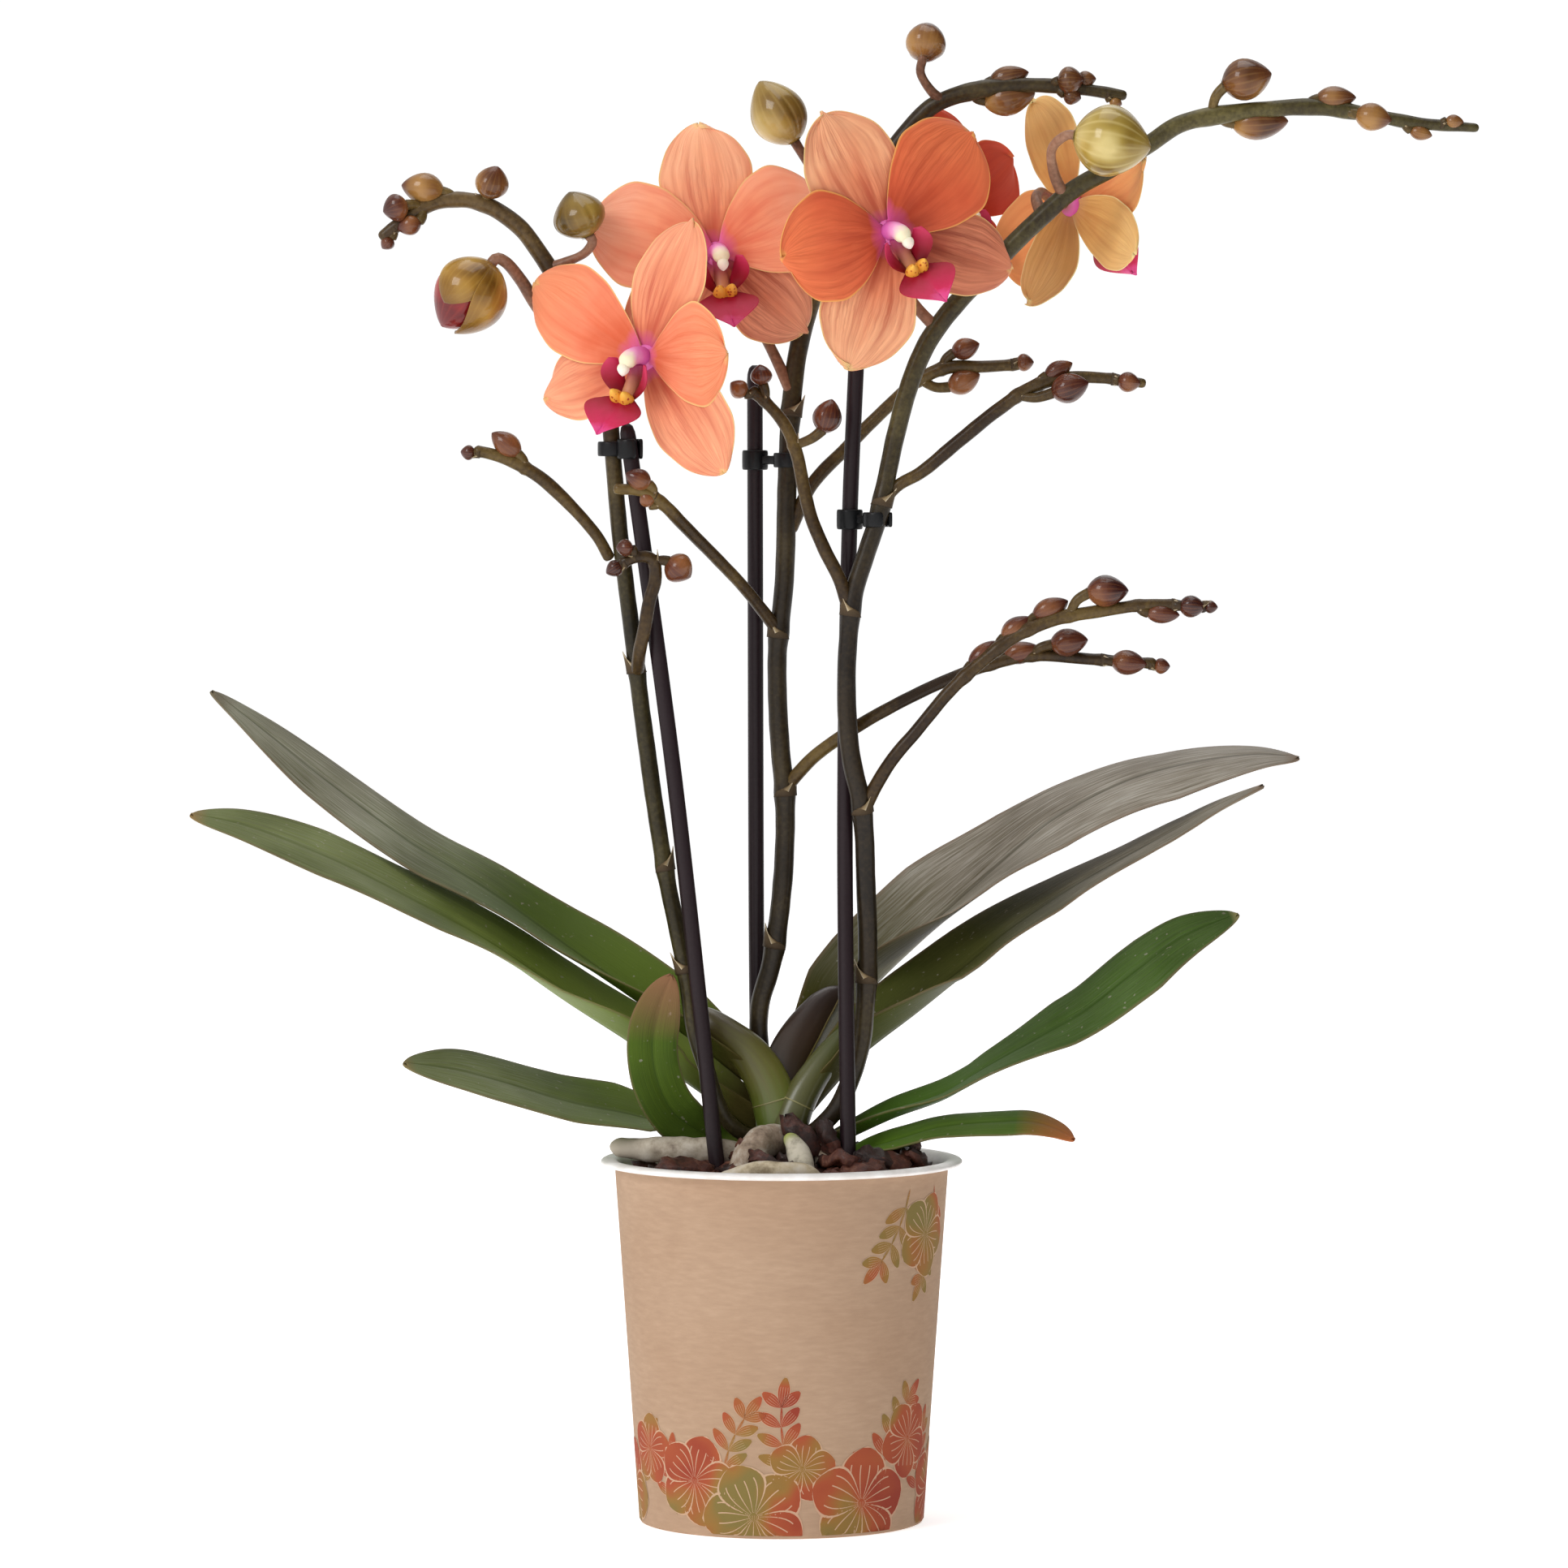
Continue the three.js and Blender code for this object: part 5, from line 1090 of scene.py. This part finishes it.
def build_leaves():
    # A look is (dark, light, tip, tip from, painted sheen, painted sheen from, young)
    looks = {
        "leaf_left_upper": ("#303E12", "#4C601C", "#6F6450", 0.96, 0.56, 0.6, "#5A6E24"),
        "leaf_left_lower": ("#4C5A22", "#6A7A32", "#8A7048", 0.975, 0.2, 0.6, "#8EA048"),
        "leaf_left_small": ("#34481A", "#506620", "#92684C", 0.74, 0.0, 0.5, "#506620"),
        "leaf_left_short": ("#42501C", "#5C6E28", "#7C6E4A", 0.975, 0.24, 0.6, "#7C9038"),
        "leaf_right_upper": ("#2E2C10", "#4A461E", "#7A6654", 0.975, 0.76, 0.3, "#4A4C1C"),
        "leaf_right_middle": ("#34361A", "#524C2C", "#7C6A58", 0.975, 0.5, 0.6, "#545A26"),
        "leaf_right_lower": ("#2A440C", "#406214", "#8A8258", 0.985, 0.1, 0.3, "#46681A"),
        "leaf_right_short": ("#3A5214", "#527020", "#B4683E", 0.8, 0.06, 0.5, "#527020"),
    }
    rows, columns = 80, 20
    for name, shape in LEAVES.items():
        dark, light, tip, tip_from, painted_sheen, painted_sheen_from, young = looks[name]
        thickness = lambda u, v: 1.9 * (1 - 0.3 * u) * max(1 - v * v, 0.02) ** 0.42
        skin = blade(leaf_surface(shape, 0.35), thickness, rows, columns, 1.5)
        upper = rows * columns
        numbers = [0] * upper + [1] * (len(skin[1]) - upper)
        make_piece(name + "_blade", [(skin, numbers)], [
            leaf_skin(name + side, dark, light, tip, tip_from, share * painted_sheen, painted_sheen_from, young)
            for side, share in (("_skin", 1), ("_underside", 0.9))
        ], "leaf", [name])


# Flower stems, buds and bracts
def stem_frame(curve, share):
    along = curve.along(share)
    left = Vector((-along.z, 0, along.x)).normalized()
    front = along.cross(left).normalized()
    return curve.at(share), along, left, -front if front.y > 0 else front


def sideways(left, front, side):
    return left * math.sin(math.radians(side)) + front * math.cos(math.radians(side))


def round_axis(base, tip):
    """A function for the point at a share of the way, a reach and an angle round the axis."""
    way = tip - base
    axis = way.normalized()
    across = Vector((0, 1, 0)).cross(axis).normalized()
    beside = axis.cross(across)

    def at(share, reach, angle):
        centre = base + axis * (way.length * share)
        return centre + across * (reach * math.cos(angle)) + beside * (reach * math.sin(angle))

    return at


def bud_swell(share, least):
    return max(math.sin(math.pi * min(share**0.86, 1)) ** 0.66, least)


def egg(base, tip, wide, sides, rows, seams=3, turn=0.0):
    """A closed bud of sepals that overlap at shallow seams and meet at its tip."""
    at = round_axis(base, tip)
    rings = []
    for row in range(rows + 1):
        share = 0.5 - 0.5 * math.cos(math.pi * row / rows)
        reach = wide / 2 * bud_swell(share, 0.05 if row else 0.3)
        circle = []
        for angle in full_turn(sides):
            phase = (seams * (angle + turn) / (2 * math.pi)) % 1
            lap = (0.07 * phase**5 - 0.05 * math.exp(-((phase / 0.07) ** 2))) * math.sin(math.pi * share)
            circle.append(at(share, reach * (0.98 + lap), angle))
        rings.append(circle)
    return rings_skin(rings)


def small_bud(curve, row):
    """A bud with its stalk and the little scale below it, as (stalk, bud, scale) skins."""
    share, side, reach, spread, lean, long, wide = row
    at, along, left, front = stem_frame(curve, share)
    out = sideways(left, front, side)

    def toward(angle, distance):
        angle = math.radians(angle)
        return along * (distance * math.cos(angle)) + out * (distance * math.sin(angle))

    base = at + toward(spread, reach)
    tip = base + toward(lean, long)
    sag = (base + at) / 2 + out * (0.12 * reach)
    thick = min(1.3, 0.2 * wide + 0.45)
    seat = base + toward(lean, 0.12 * long)
    stalk = tube([at, sag, seat], lambda u: thick * (0.94 + 0.25 * u), 12, 0.6)
    body = egg(base, tip, 1.05 * wide, 24, 16, turn=RANDOM.uniform(0, 6))
    return stalk, body, scale_skin(at, along, out, 1.5, 2.2 + 0.1 * wide, 0.5, 100)


def scale_skin(at, along, out, radius, rise, stand, wrap):
    """A thin bract that wraps part of a stem and ends in a point close to it."""
    beside = along.cross(out)

    def surface(u, v):
        turn = math.radians(wrap * v * (1 - 0.55 * u))
        point = 1 - 0.8 * abs(v) ** 1.5 * u
        reach = radius + 0.12 + stand * u * u * (1 - abs(v) * 0.6)
        round_stem = out * math.cos(turn) + beside * math.sin(turn)
        return at + along * (rise * (1.15 * u * point - 0.15)) + round_stem * reach

    return blade(surface, lambda u, v: 0.35 - 0.15 * u, 8, 14)


def branch_parts(route, radii, buds):
    curve = Route(route)
    knots = [row[0] for row in buds]
    radius_at = lambda share: value_at(radii, share) * (1 + 0.16 * swell_at(share, knots, 0.012))
    parts = [(tube(curve, radius_at, 16, 1.2, 0.05), 3)]
    for row in buds:
        parts += zip(small_bud(curve, row), (3, 1, 2))
    return parts


def stalk_parts(route, radii, buds=()):
    """A flower's or a bud's stalk, which ends just inside what it carries."""
    end, before = Vector(route[-1]), Vector(route[-2])
    seat = end + (end - before).normalized() * 1.2
    for large in LARGE_BUDS.values():
        if (Vector(large["base"]) - end).length < 4:
            seat = Vector(large["base"]).lerp(Vector(large["tip"]), 0.08)
    parts = [(tube([*route, seat], lambda share: value_at(radii, share), 16, 0.8, 0.03), 4)]
    return parts + [(small_bud(Route(route), row)[1], 5) for row in buds]


def build_spikes():
    # A look is the (dark, middle, light) tones of the foot, and those of the top
    looks = {
        "spike_left": (("#1E190E", "#332C18", "#4C4428"), ("#2A1B0F", "#4A3820", "#6C5634")),
        "spike_middle": (("#1C150E", "#2E2518", "#463B26"), ("#2A1E0F", "#463A1E", "#665832")),
        "spike_right": (("#1C150E", "#302619", "#483D27"), ("#2A200F", "#484022", "#6C6238")),
    }
    shared = [
        bud_skin("young_bud_skin", "#361510", "#5C2E1C", "#8A5630", 0.3, "#3E1412"),
        dry_bract(),
        stem_skin("branch_skin", ("#2A1C0E", "#46341A", "#66522A"), ("#30200F", "#52401F", "#786236")),
        stem_skin("stalk_skin", *(("#5A3C2C", "#865E48", "#A88068"),) * 2),
        bud_skin("older_bud_skin", "#4A2812", "#764A24", "#A47840", 0.25, "#4E1E18"),
    ]
    for name, spike in SPIKES.items():
        curve, radii = Route(spike["route"]), spike["radii"]
        joints = [curve.share_at_height(height) for height, _ in spike["joints"]]
        knots = joints + [row[0] for row in spike["buds"]]
        radius_at = lambda share: value_at(radii, share) * (1 + 0.12 * swell_at(share, knots, 0.008))
        parts = [(tube(curve, radius_at, 24, 1.4, 0.04), 0)]
        for row in spike["buds"]:
            still_red = name == "spike_left" and row[-1] < 8
            parts += zip(small_bud(curve, row), (3, 1 if still_red else 5, 2))
        for (_, side), share in zip(spike["joints"], joints):
            at, along, left, front = stem_frame(curve, share)
            out = sideways(left, front, side)
            parts.append((scale_skin(at, along, out, 1.12 * value_at(radii, share), 5.5, 0.5, 160), 2))
        for stalk in spike["stalks"]:
            parts += stalk_parts(**stalk)
        for branch in spike["branches"]:
            parts += branch_parts(**branch)
        finishes = [stem_skin(name + "_skin", *looks[name]), *shared]
        make_piece(name + "_stem", parts, finishes, "stem", [name])


def bud_shell(base, tip, wide, middle, half, end, flare):
    """One sepal of an opening bud: a cupped shell round a middle angle, which narrows to a point."""
    at = round_axis(base, tip)

    def surface(u, v):
        share = 0.02 + (end - 0.02) * u
        narrowing = max(1 - (max(u - 0.25, 0) / 0.75) ** 2, 0.004) ** 0.6
        reach = wide / 2 * bud_swell(share, 0.12) + flare * (0.4 + u * u)
        return at(share, reach, math.radians(middle + half * v * narrowing))

    return blade(surface, lambda u, v: 0.9 * max(1 - v * v, 0.1) ** 0.4, 36, 30)


def build_large_buds():
    # A look is (dark, middle, light, ribs), and a shell is (middle, half, end, flare)
    looks = {
        "bud_opening": ("#6A4610", "#9A7028", "#C09846", 0.2),
        "bud_left": ("#4C3810", "#72561E", "#987A36", 0.2),
        "bud_middle": ("#7A5C24", "#A58844", "#C8AE6C", 0.2),
        "bud_right": ("#7A5E20", "#A68C3E", "#CFBA78", 0.55),
    }
    shells = ((104, 56, 0.84, 0.4), (-66, 50, 0.76, 0.3), (-158, 62, 0.96, 1.3))
    for name, bud in LARGE_BUDS.items():
        base, tip, wide = Vector(bud["base"]), Vector(bud["tip"]), bud["wide"]
        finishes = [bud_skin(name + "_skin", *looks[name])]
        if name == "bud_opening":
            parts = [(egg(base.lerp(tip, 0.1), tip, wide - 2.4, 48, 30), 1)]
            parts += [(bud_shell(base, tip, wide - 0.8, *shell), 0) for shell in shells]
            finishes.append(bud_skin("bud_inside_skin", "#5E0A0E", "#8A181A", "#B4402C", 0.2, "#6A0E12"))
        else:
            parts = [(egg(base, tip, wide, 60, 36, turn=1.2), 0)]
        make_piece(name + "_sepals", parts, finishes, "bud", [name])


# Sticks and clips
def bar_ring(centre, across, wide, high, corner=0.5):
    """A ring round a bar of a width and a height, with rounded edges."""
    return [
        centre + across * (signed_power(math.cos(turn), 0.5) * wide / 2)
        + Vector((0, 0, signed_power(math.sin(turn), corner) * high / 2))
        for turn in full_turn(16)
    ]


def collar(at, other, inner, height):
    """A snap collar: a band with rounded edges, open on the side away from the bridge."""
    away = math.atan2(at.y - other.y, at.x - other.x)
    wall, opening, steps = 1.1, 52, 40
    rings = []
    for step in range(steps + 1):
        turn = away + math.radians(opening / 2 + (360 - opening) * step / steps)
        out = Vector((math.cos(turn), math.sin(turn), 0))
        close = 0.72 if step in (0, steps) else 1
        rings.append(bar_ring(at + out * (inner + wall / 2), out, wall * close, height * close, 0.35))
    return rings_skin(rings)


def bridge(start, end, wide, height):
    """The bar between two collars, a little waisted."""
    span = Vector((end.x - start.x, end.y - start.y, 0))
    across = Vector((-span.y, span.x, 0)).normalized()
    into_collar = CLEARANCE + 0.5
    first, last = (STAKE_RADIUS + into_collar) / span.length, 1 - (STEM_RADIUS + into_collar) / span.length
    rings = []
    for step in (number / 12 for number in range(13)):
        waist = 0.82 + 0.18 * abs(2 * step - 1)
        rings.append(bar_ring(start + span * (first + (last - first) * step), across, wide * waist,
                              height * waist))
    return rings_skin(rings)


def build_sticks():
    stick = moulded_plastic("extruded_stick", "#1E1216", 0.36, 0.9)
    clip = moulded_plastic("moulded_clip", "#0C0D0F", 0.34, 1.2)
    for name, rod in STAKES.items():
        skin = tube(rod["route"], lambda share: STAKE_RADIUS, 28, 4)
        make_piece(name + "_rod", [(skin, 0)], [stick], "stick", [name])
        curves = [Route(rod["route"]), Route(SPIKES[rod["spike"]]["route"])]
        at, flower = (curve.at(curve.share_at_height(rod["clip_height"])) for curve in curves)
        parts = [
            (collar(at, flower, STAKE_RADIUS + CLEARANCE, 5.4), 0),
            (collar(flower, at, STEM_RADIUS + CLEARANCE, 4), 0),
            (bridge(at, flower, 2.2, 2.8), 0),
        ]
        clip_name = name.replace("stake", "clip")
        make_piece(clip_name + "_snap", parts, [clip], "clip", [clip_name])


# Blooms: X to the right, Y to the upper sepal and Z out of the face
def bloom_matrix(place):
    out = Vector(place["facing"]).normalized()
    lean = math.radians(place["upright"])
    picture = Vector((math.cos(lean), 0, math.sin(lean)))
    top = (picture - out * picture.dot(out)).normalized()
    right = top.cross(out)
    turned = Matrix((right, top, out)).transposed().to_4x4()
    return Matrix.Translation(place["centre"]) @ turned @ Matrix.Scale(place["size"], 4)


def tepal_swell(u, narrow, peak):
    return max(math.sin(math.pi * min(u**peak, 1)), 0) ** 0.5 * (1 - 0.6 * narrow * (1 - u) ** 2)


def tepal_surface(shape, wave, point):
    """The middle surface of a petal or sepal. Point is how far its tip stands out."""
    lean = math.radians(shape["turn"])
    outward = Vector((math.sin(lean), math.cos(lean), 0))
    across = Vector((math.cos(lean), -math.sin(lean), 0))
    half, length = shape["width"] / 2, shape["length"] - 1.2

    def surface(u, v):
        least = 0.16 if u < 0.5 else 0.01
        frill = 0.04 * math.sin(8 * u + 1.7 * wave + 2 * v) + 0.018 * math.sin(23 * u + wave - 4 * v)
        reach = half * (1 + u * frill) * max(tepal_swell(u, shape["narrow"], shape["peak"]), least)
        rise = shape["lift"] + 2.2 * math.sin(math.pi * u * 0.8) - 3.2 * u * u - 0.5 * v * v
        rise += 0.9 * math.sin(4.5 * u + wave) * u * v * abs(v)
        rise += 0.9 * math.sin(3 * wave + 6 * v) * u * u * v * v
        rise -= 0.5 * math.exp(-((v / 0.09) ** 2)) * math.sin(math.pi * u)
        ripple = 0.8 * math.sin(5 * v + 2 * wave) * u**4 + point * math.exp(-((v / 0.22) ** 2)) * u**6
        sway = shape["bow"] * math.sin(math.pi * u)
        return outward * (1.2 + length * u + ripple) + across * (reach * v + sway) + Vector((0, 0, rise))

    return surface


def moved(skin, matrix):
    points, *rest = skin
    return ([matrix @ point for point in points], *rest)


COLUMN_SKIN = lip_skin("column_tissue", [
    (0.15, "#B84494"), (0.45, "#D86CB4"), (0.72, "#EEA6D2"), (0.88, "#F2E6C4"),
])
ANTHER_CAP = lip_skin("anther_cap", [(0.1, "#F2E6C4"), (1.0, "#F4EAE6")])
LIP_DISC = lip_skin("lip_disc", [(0.1, "#A03070"), (0.5, "#A04C50"), (1.0, "#D89A6C")])
HEART = lip_skin("bloom_heart", [(0.1, "#A8803E"), (0.5, "#DC5CAA"), (0.9, "#F086C4")])
LIP_LOBES = lip_skin("lip_side_lobes", [(0.1, "#6A0412"), (0.5, "#980C28"), (1.0, "#C43058")])
LIP_MIDDLE = lip_skin("lip_middle_lobe", [
    (0.1, "#7A0418"), (0.5, "#A00A2C"), (0.9, "#C81E50"), (1.1, "#DC4484"),
])
LIP_CALLUS = lip_skin("lip_callus", [(0.1, "#D0701C"), (0.5, "#E89A34"), (1.0, "#F0B84C")], "#A8281C")


def build_petals(name, place, matrix, finishes):
    """The petals and sepals. Finishes are for petals and the upper, lower right and lower left sepal."""
    wave = RANDOM.uniform(0, 6)
    parts = []
    for number, (tepal, common) in enumerate(TEPALS.items()):
        point = -0.4 if tepal.startswith("petal") else 0.5
        surface = tepal_surface({**common, **place["own"].get(tepal, {})}, wave + number, point)
        skin = blade(surface, lambda u, v: 0.75 * max(1 - v * v, 0.04) ** 0.4, 44, 28, 1.5)
        finish = {"upper": 1, "lowerRight": 2, "lowerLeft": 3}.get(tepal, 0)
        parts.append((moved(skin, matrix), finish))
    hub = egg(Vector((0, 0, -2.8)), Vector((0, 0, 3.0)), 7.4, 28, 14, 2)
    parts.append((moved(hub, matrix), 4))
    slot = {"bloom_right": "petal_yellow", "bloom_front": "petal_red", "bloom_hidden": "petal_red"}
    make_piece(name + "_petals", parts, [*finishes, HEART], slot.get(name, "petal_salmon"),
               [name + "_tepals"])


def build_column(name, matrix):
    """The column: a pink club with a white cap over the pollen."""
    route = Route(((0, 0.3, 2.2), (0, 0.5, 4.6), (0, 0.2, 7.2), (0, -0.9, 9.4), (0, -2.6, 10.8)))
    radii = (2.6, 2.5, 2.4, 2.3, 2.4, 2.3, 1.2)
    shaft = tube(route, lambda share: value_at(radii, share), 26, 0.35)
    beak = egg(Vector((0, -1.4, 10.9)), Vector((0, -5.2, 10.4)), 3.4, 20, 12, 2)
    make_piece(name + "_shaft", [(moved(shaft, matrix), 0), (moved(beak, matrix), 1)],
               [COLUMN_SKIN, ANTHER_CAP], "column", [name + "_column"])


def build_lip(name, matrix):
    """The lip: two flared side lobes, a toothed callus and a broad lobe with corners and a point."""

    def middle(u, v):
        wide = 2.2 * (1 - u) + 7.3 * max(math.sin(math.pi * u**0.85), 0.01) ** 1.15
        cup = 2.6 * v * v * (1 - 0.4 * u) - 0.5 * math.exp(-((v / 0.14) ** 2))
        down, out = 10.6 + 5.5 * u + 4.6 * u * u, 5 + 14 * u - 2.4 * u * u
        return Vector((wide * v, -down - 0.25 * cup, out + 0.8 * cup))

    parts = [(blade(middle, lambda u, v: 1.0 * max(1 - v * v, 0.05) ** 0.4, 32, 22), 1)]
    for side in (1, -1):

        def lobe(u, v, side=side):
            half = 3.3 * math.sin(math.pi * (0.16 + 0.72 * u))
            out = 1.5 + 3.4 * u + 1.1 * math.sin(math.pi * u) + 0.62 * half * v + 0.25 * half * v * v
            return Vector((side * out, -10.8 + 9.6 * u - 0.1 * half * v, 5.6 + 2.8 * u + 0.78 * half * v))

        parts.append((blade(lobe, lambda u, v: 0.8 * max(1 - v * v, 0.05) ** 0.4, 22, 16), 0))
    for x in (-1.1, 1.1):
        parts.append((egg(Vector((x, -13.4, 5.0)), Vector((x * 1.7, -9.2, 11.8)), 3.9, 24, 14, 3, x), 2))
    parts.append((egg(Vector((0, -14.4, 7.2)), Vector((0, -9.6, 6.6)), 5, 20, 12, 2), 2))
    claw = tube(((0, -1.5, 4.2), (0, -5, 4), (0, -11, 5.4)), lambda share: 1.9 + 0.2 * share, 18, 0.5)
    parts.append((claw, 3))
    make_piece(name + "_labellum", [(moved(skin, matrix), number) for skin, number in parts],
               [LIP_LOBES, LIP_MIDDLE, LIP_CALLUS, LIP_DISC], "lip", [name + "_lip"])


def build_blooms():
    # A look is (deep, middle, pale, margin, heart, veins, keel)
    looks = {
        "salmon_petal": ("#D2562E", "#EA8662", "#F2966C", "#ECC47C", "#E468AC", 0.42),
        # A lighter copy with painted light: the back bloom lies in the shade of the blooms before it
        "painted_light_coral_petal": ("#E46244", "#FFA47C", "#FFB896", "#ECC47C", "#E468AC", 0.4),
        "salmon_sepal": ("#B84832", "#E08660", "#F2A47C", "#E8C880", "#D85C9C", 0.55, 0.4),
        # Also a lighter copy with painted light, for the back bloom's upper sepal
        "painted_light_pale_sepal": ("#C65C42", "#FAA67A", "#FFBC92", "#E8C880", "#D85C9C", 0.5, 0.4),
        # A darker copy with painted shade, for the back bloom's lower sepals
        "painted_shade_sepal": ("#963C2A", "#D07856", "#E8A07C", "#E8C880", "#C04C84", 0.6, 0.6),
        # A darker copy with painted shade, for both petals of the front bloom
        "painted_shade_orange_red_petal": ("#A63618", "#D25C36", "#E47648", "#E8AE5A", "#D45098", 0.45),
        "orange_red_sepal": ("#AC442A", "#E89066", "#F4B286", "#E8C880", "#D05494", 0.6, 0.5),
        # A darker copy with painted shade, for the front bloom's lower right sepal
        "painted_shade_brown_red_sepal": ("#7C2A1A", "#A84E34", "#D2805E", "#E8C880", "#B44078", 0.6, 0.7),
        # Its own red, darkened further with painted shade, for the bloom behind the front one
        "painted_shade_red_petal": ("#A02414", "#BC3820", "#CC4A2C", "#D87A40", "#A03070", 0.3),
        "orange_petal": ("#CC6C3C", "#E8965A", "#F0AA68", "#ECC47C", "#C87850", 0.35),
        "amber_sepal": ("#B87438", "#DCA45C", "#E8BC76", "#F0DC9C", "#C89060", 0.4),
        # A darker copy with painted shade, for the right bloom's lower right sepal
        "painted_shade_amber_sepal": ("#9C6430", "#BE8848", "#D2A264", "#F0DC9C", "#B87C50", 0.45),
    }
    skins = {name: petal_skin(name, *look) for name, look in looks.items()}
    worn = {
        "bloom_left": ("salmon_petal", "salmon_sepal", "salmon_sepal", "salmon_sepal"),
        "bloom_back": ("painted_light_coral_petal", "painted_light_pale_sepal", "painted_shade_sepal", "painted_shade_sepal"),
        "bloom_front": ("painted_shade_orange_red_petal", "orange_red_sepal", "painted_shade_brown_red_sepal", "orange_red_sepal"),
        "bloom_hidden": ("painted_shade_red_petal", "painted_shade_red_petal", "painted_shade_red_petal", "painted_shade_red_petal"),
        "bloom_right": ("orange_petal", "amber_sepal", "painted_shade_amber_sepal", "amber_sepal"),
    }
    for name, place in BLOOMS.items():
        matrix = bloom_matrix(place)
        build_petals(name, place, matrix, [skins[skin] for skin in worn[name]])
        build_column(name, matrix)
        build_lip(name, matrix)


# Camera, floor and light
def build_studio():
    # The focal length and the side of the picture are in pixels, and the tilt is in degrees
    focal_length, photo_side, tilt = 9713, 1932, 2.58
    eye = bpy.data.cameras.new("eye")
    eye.sensor_width = 36
    eye.lens = eye.sensor_width * focal_length / photo_side
    eye.clip_end = 20
    holder = put_in_scene("eye", eye)
    holder.location = Vector((0.66, -2130, 296)) * MM
    holder.rotation_euler = (math.radians(90 - tilt), 0, 0)
    bpy.context.scene.camera = holder

    mesh = bpy.data.meshes.new("studio_floor")
    reach = 6
    corners = [(x * reach, y * reach, 0) for x, y in ((-1, -1), (1, -1), (1, 1), (-1, 1))]
    mesh.from_pydata(corners, [], [(0, 1, 2, 3)])
    mesh.materials.append(studio_floor())
    floor = put_in_scene("studio_floor", mesh)
    floor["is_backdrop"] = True

    # A light is (name, place and side in metres, watts)
    lights = (
        ("key", (-1.5, -1.5, 1.5), 1.0, 21),
        ("fill", (1.6, -1.4, 1.0), 1.4, 1.5),
        ("top", (0.1, 0.2, 2.0), 1.4, 12),
        ("back", (0.6, 1.7, 1.2), 1.4, 4),
    )
    for name, at, side, power in lights:
        lamp = bpy.data.lights.new(name, "AREA")
        lamp.size = side
        lamp.energy = power
        holder = put_in_scene(name, lamp)
        holder.location = at
        holder.rotation_euler = (Vector((0, 0, 0.22)) - Vector(at)).to_track_quat("-Z", "Y").to_euler()

    # The sky is white and dims upwards and towards the right
    world = bpy.data.worlds.new("studio")
    world.use_nodes = True
    sky = world.node_tree
    sideways_on, height = (
        node(sky, "SeparateXYZ", node(sky, "TexCoord", out="Generated"), out=axis) for axis in "XZ"
    )
    glow = node(sky, "ValToRGB", height, stops=((0.0, 1.0), (0.1, 1.0), (0.3, 0.6), (1.0, 0.55)))
    aside = node(sky, "Math", sideways_on, 0.5, 0.5, operation="MULTIPLY_ADD")
    leaning = node(sky, "ValToRGB", aside, stops=((0.0, 1.0), (0.55, 1.0), (0.64, 0.4), (0.85, 0.08)))
    both = node(sky, "Mix", 1.0, glow, leaning, data_type="RGBA", blend_type="MULTIPLY")
    sky.links.new(both, sky.nodes["Background"].inputs["Color"])
    sky.nodes["Background"].inputs["Strength"].default_value = 1.05
    bpy.context.scene.world = world
    bpy.context.scene.view_settings.view_transform = "Standard"


build_pot()
build_print()
build_bark()
build_crown()
build_roots()
build_leaves()
build_spikes()
build_large_buds()
build_sticks()
build_blooms()
# These two show little and keep the shapes of their solids
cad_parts["pot_floor"].material_slots[0].material = coated_card()
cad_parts["grow_pot"].material_slots[0].material = moulded_plastic("thin_plastic", "#9EA39A", 0.35, 1.5)
build_studio()

boxes = {"cad": cad_box, "visual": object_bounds()}
{name: [list(corner) for corner in box] for name, box in boxes.items()}
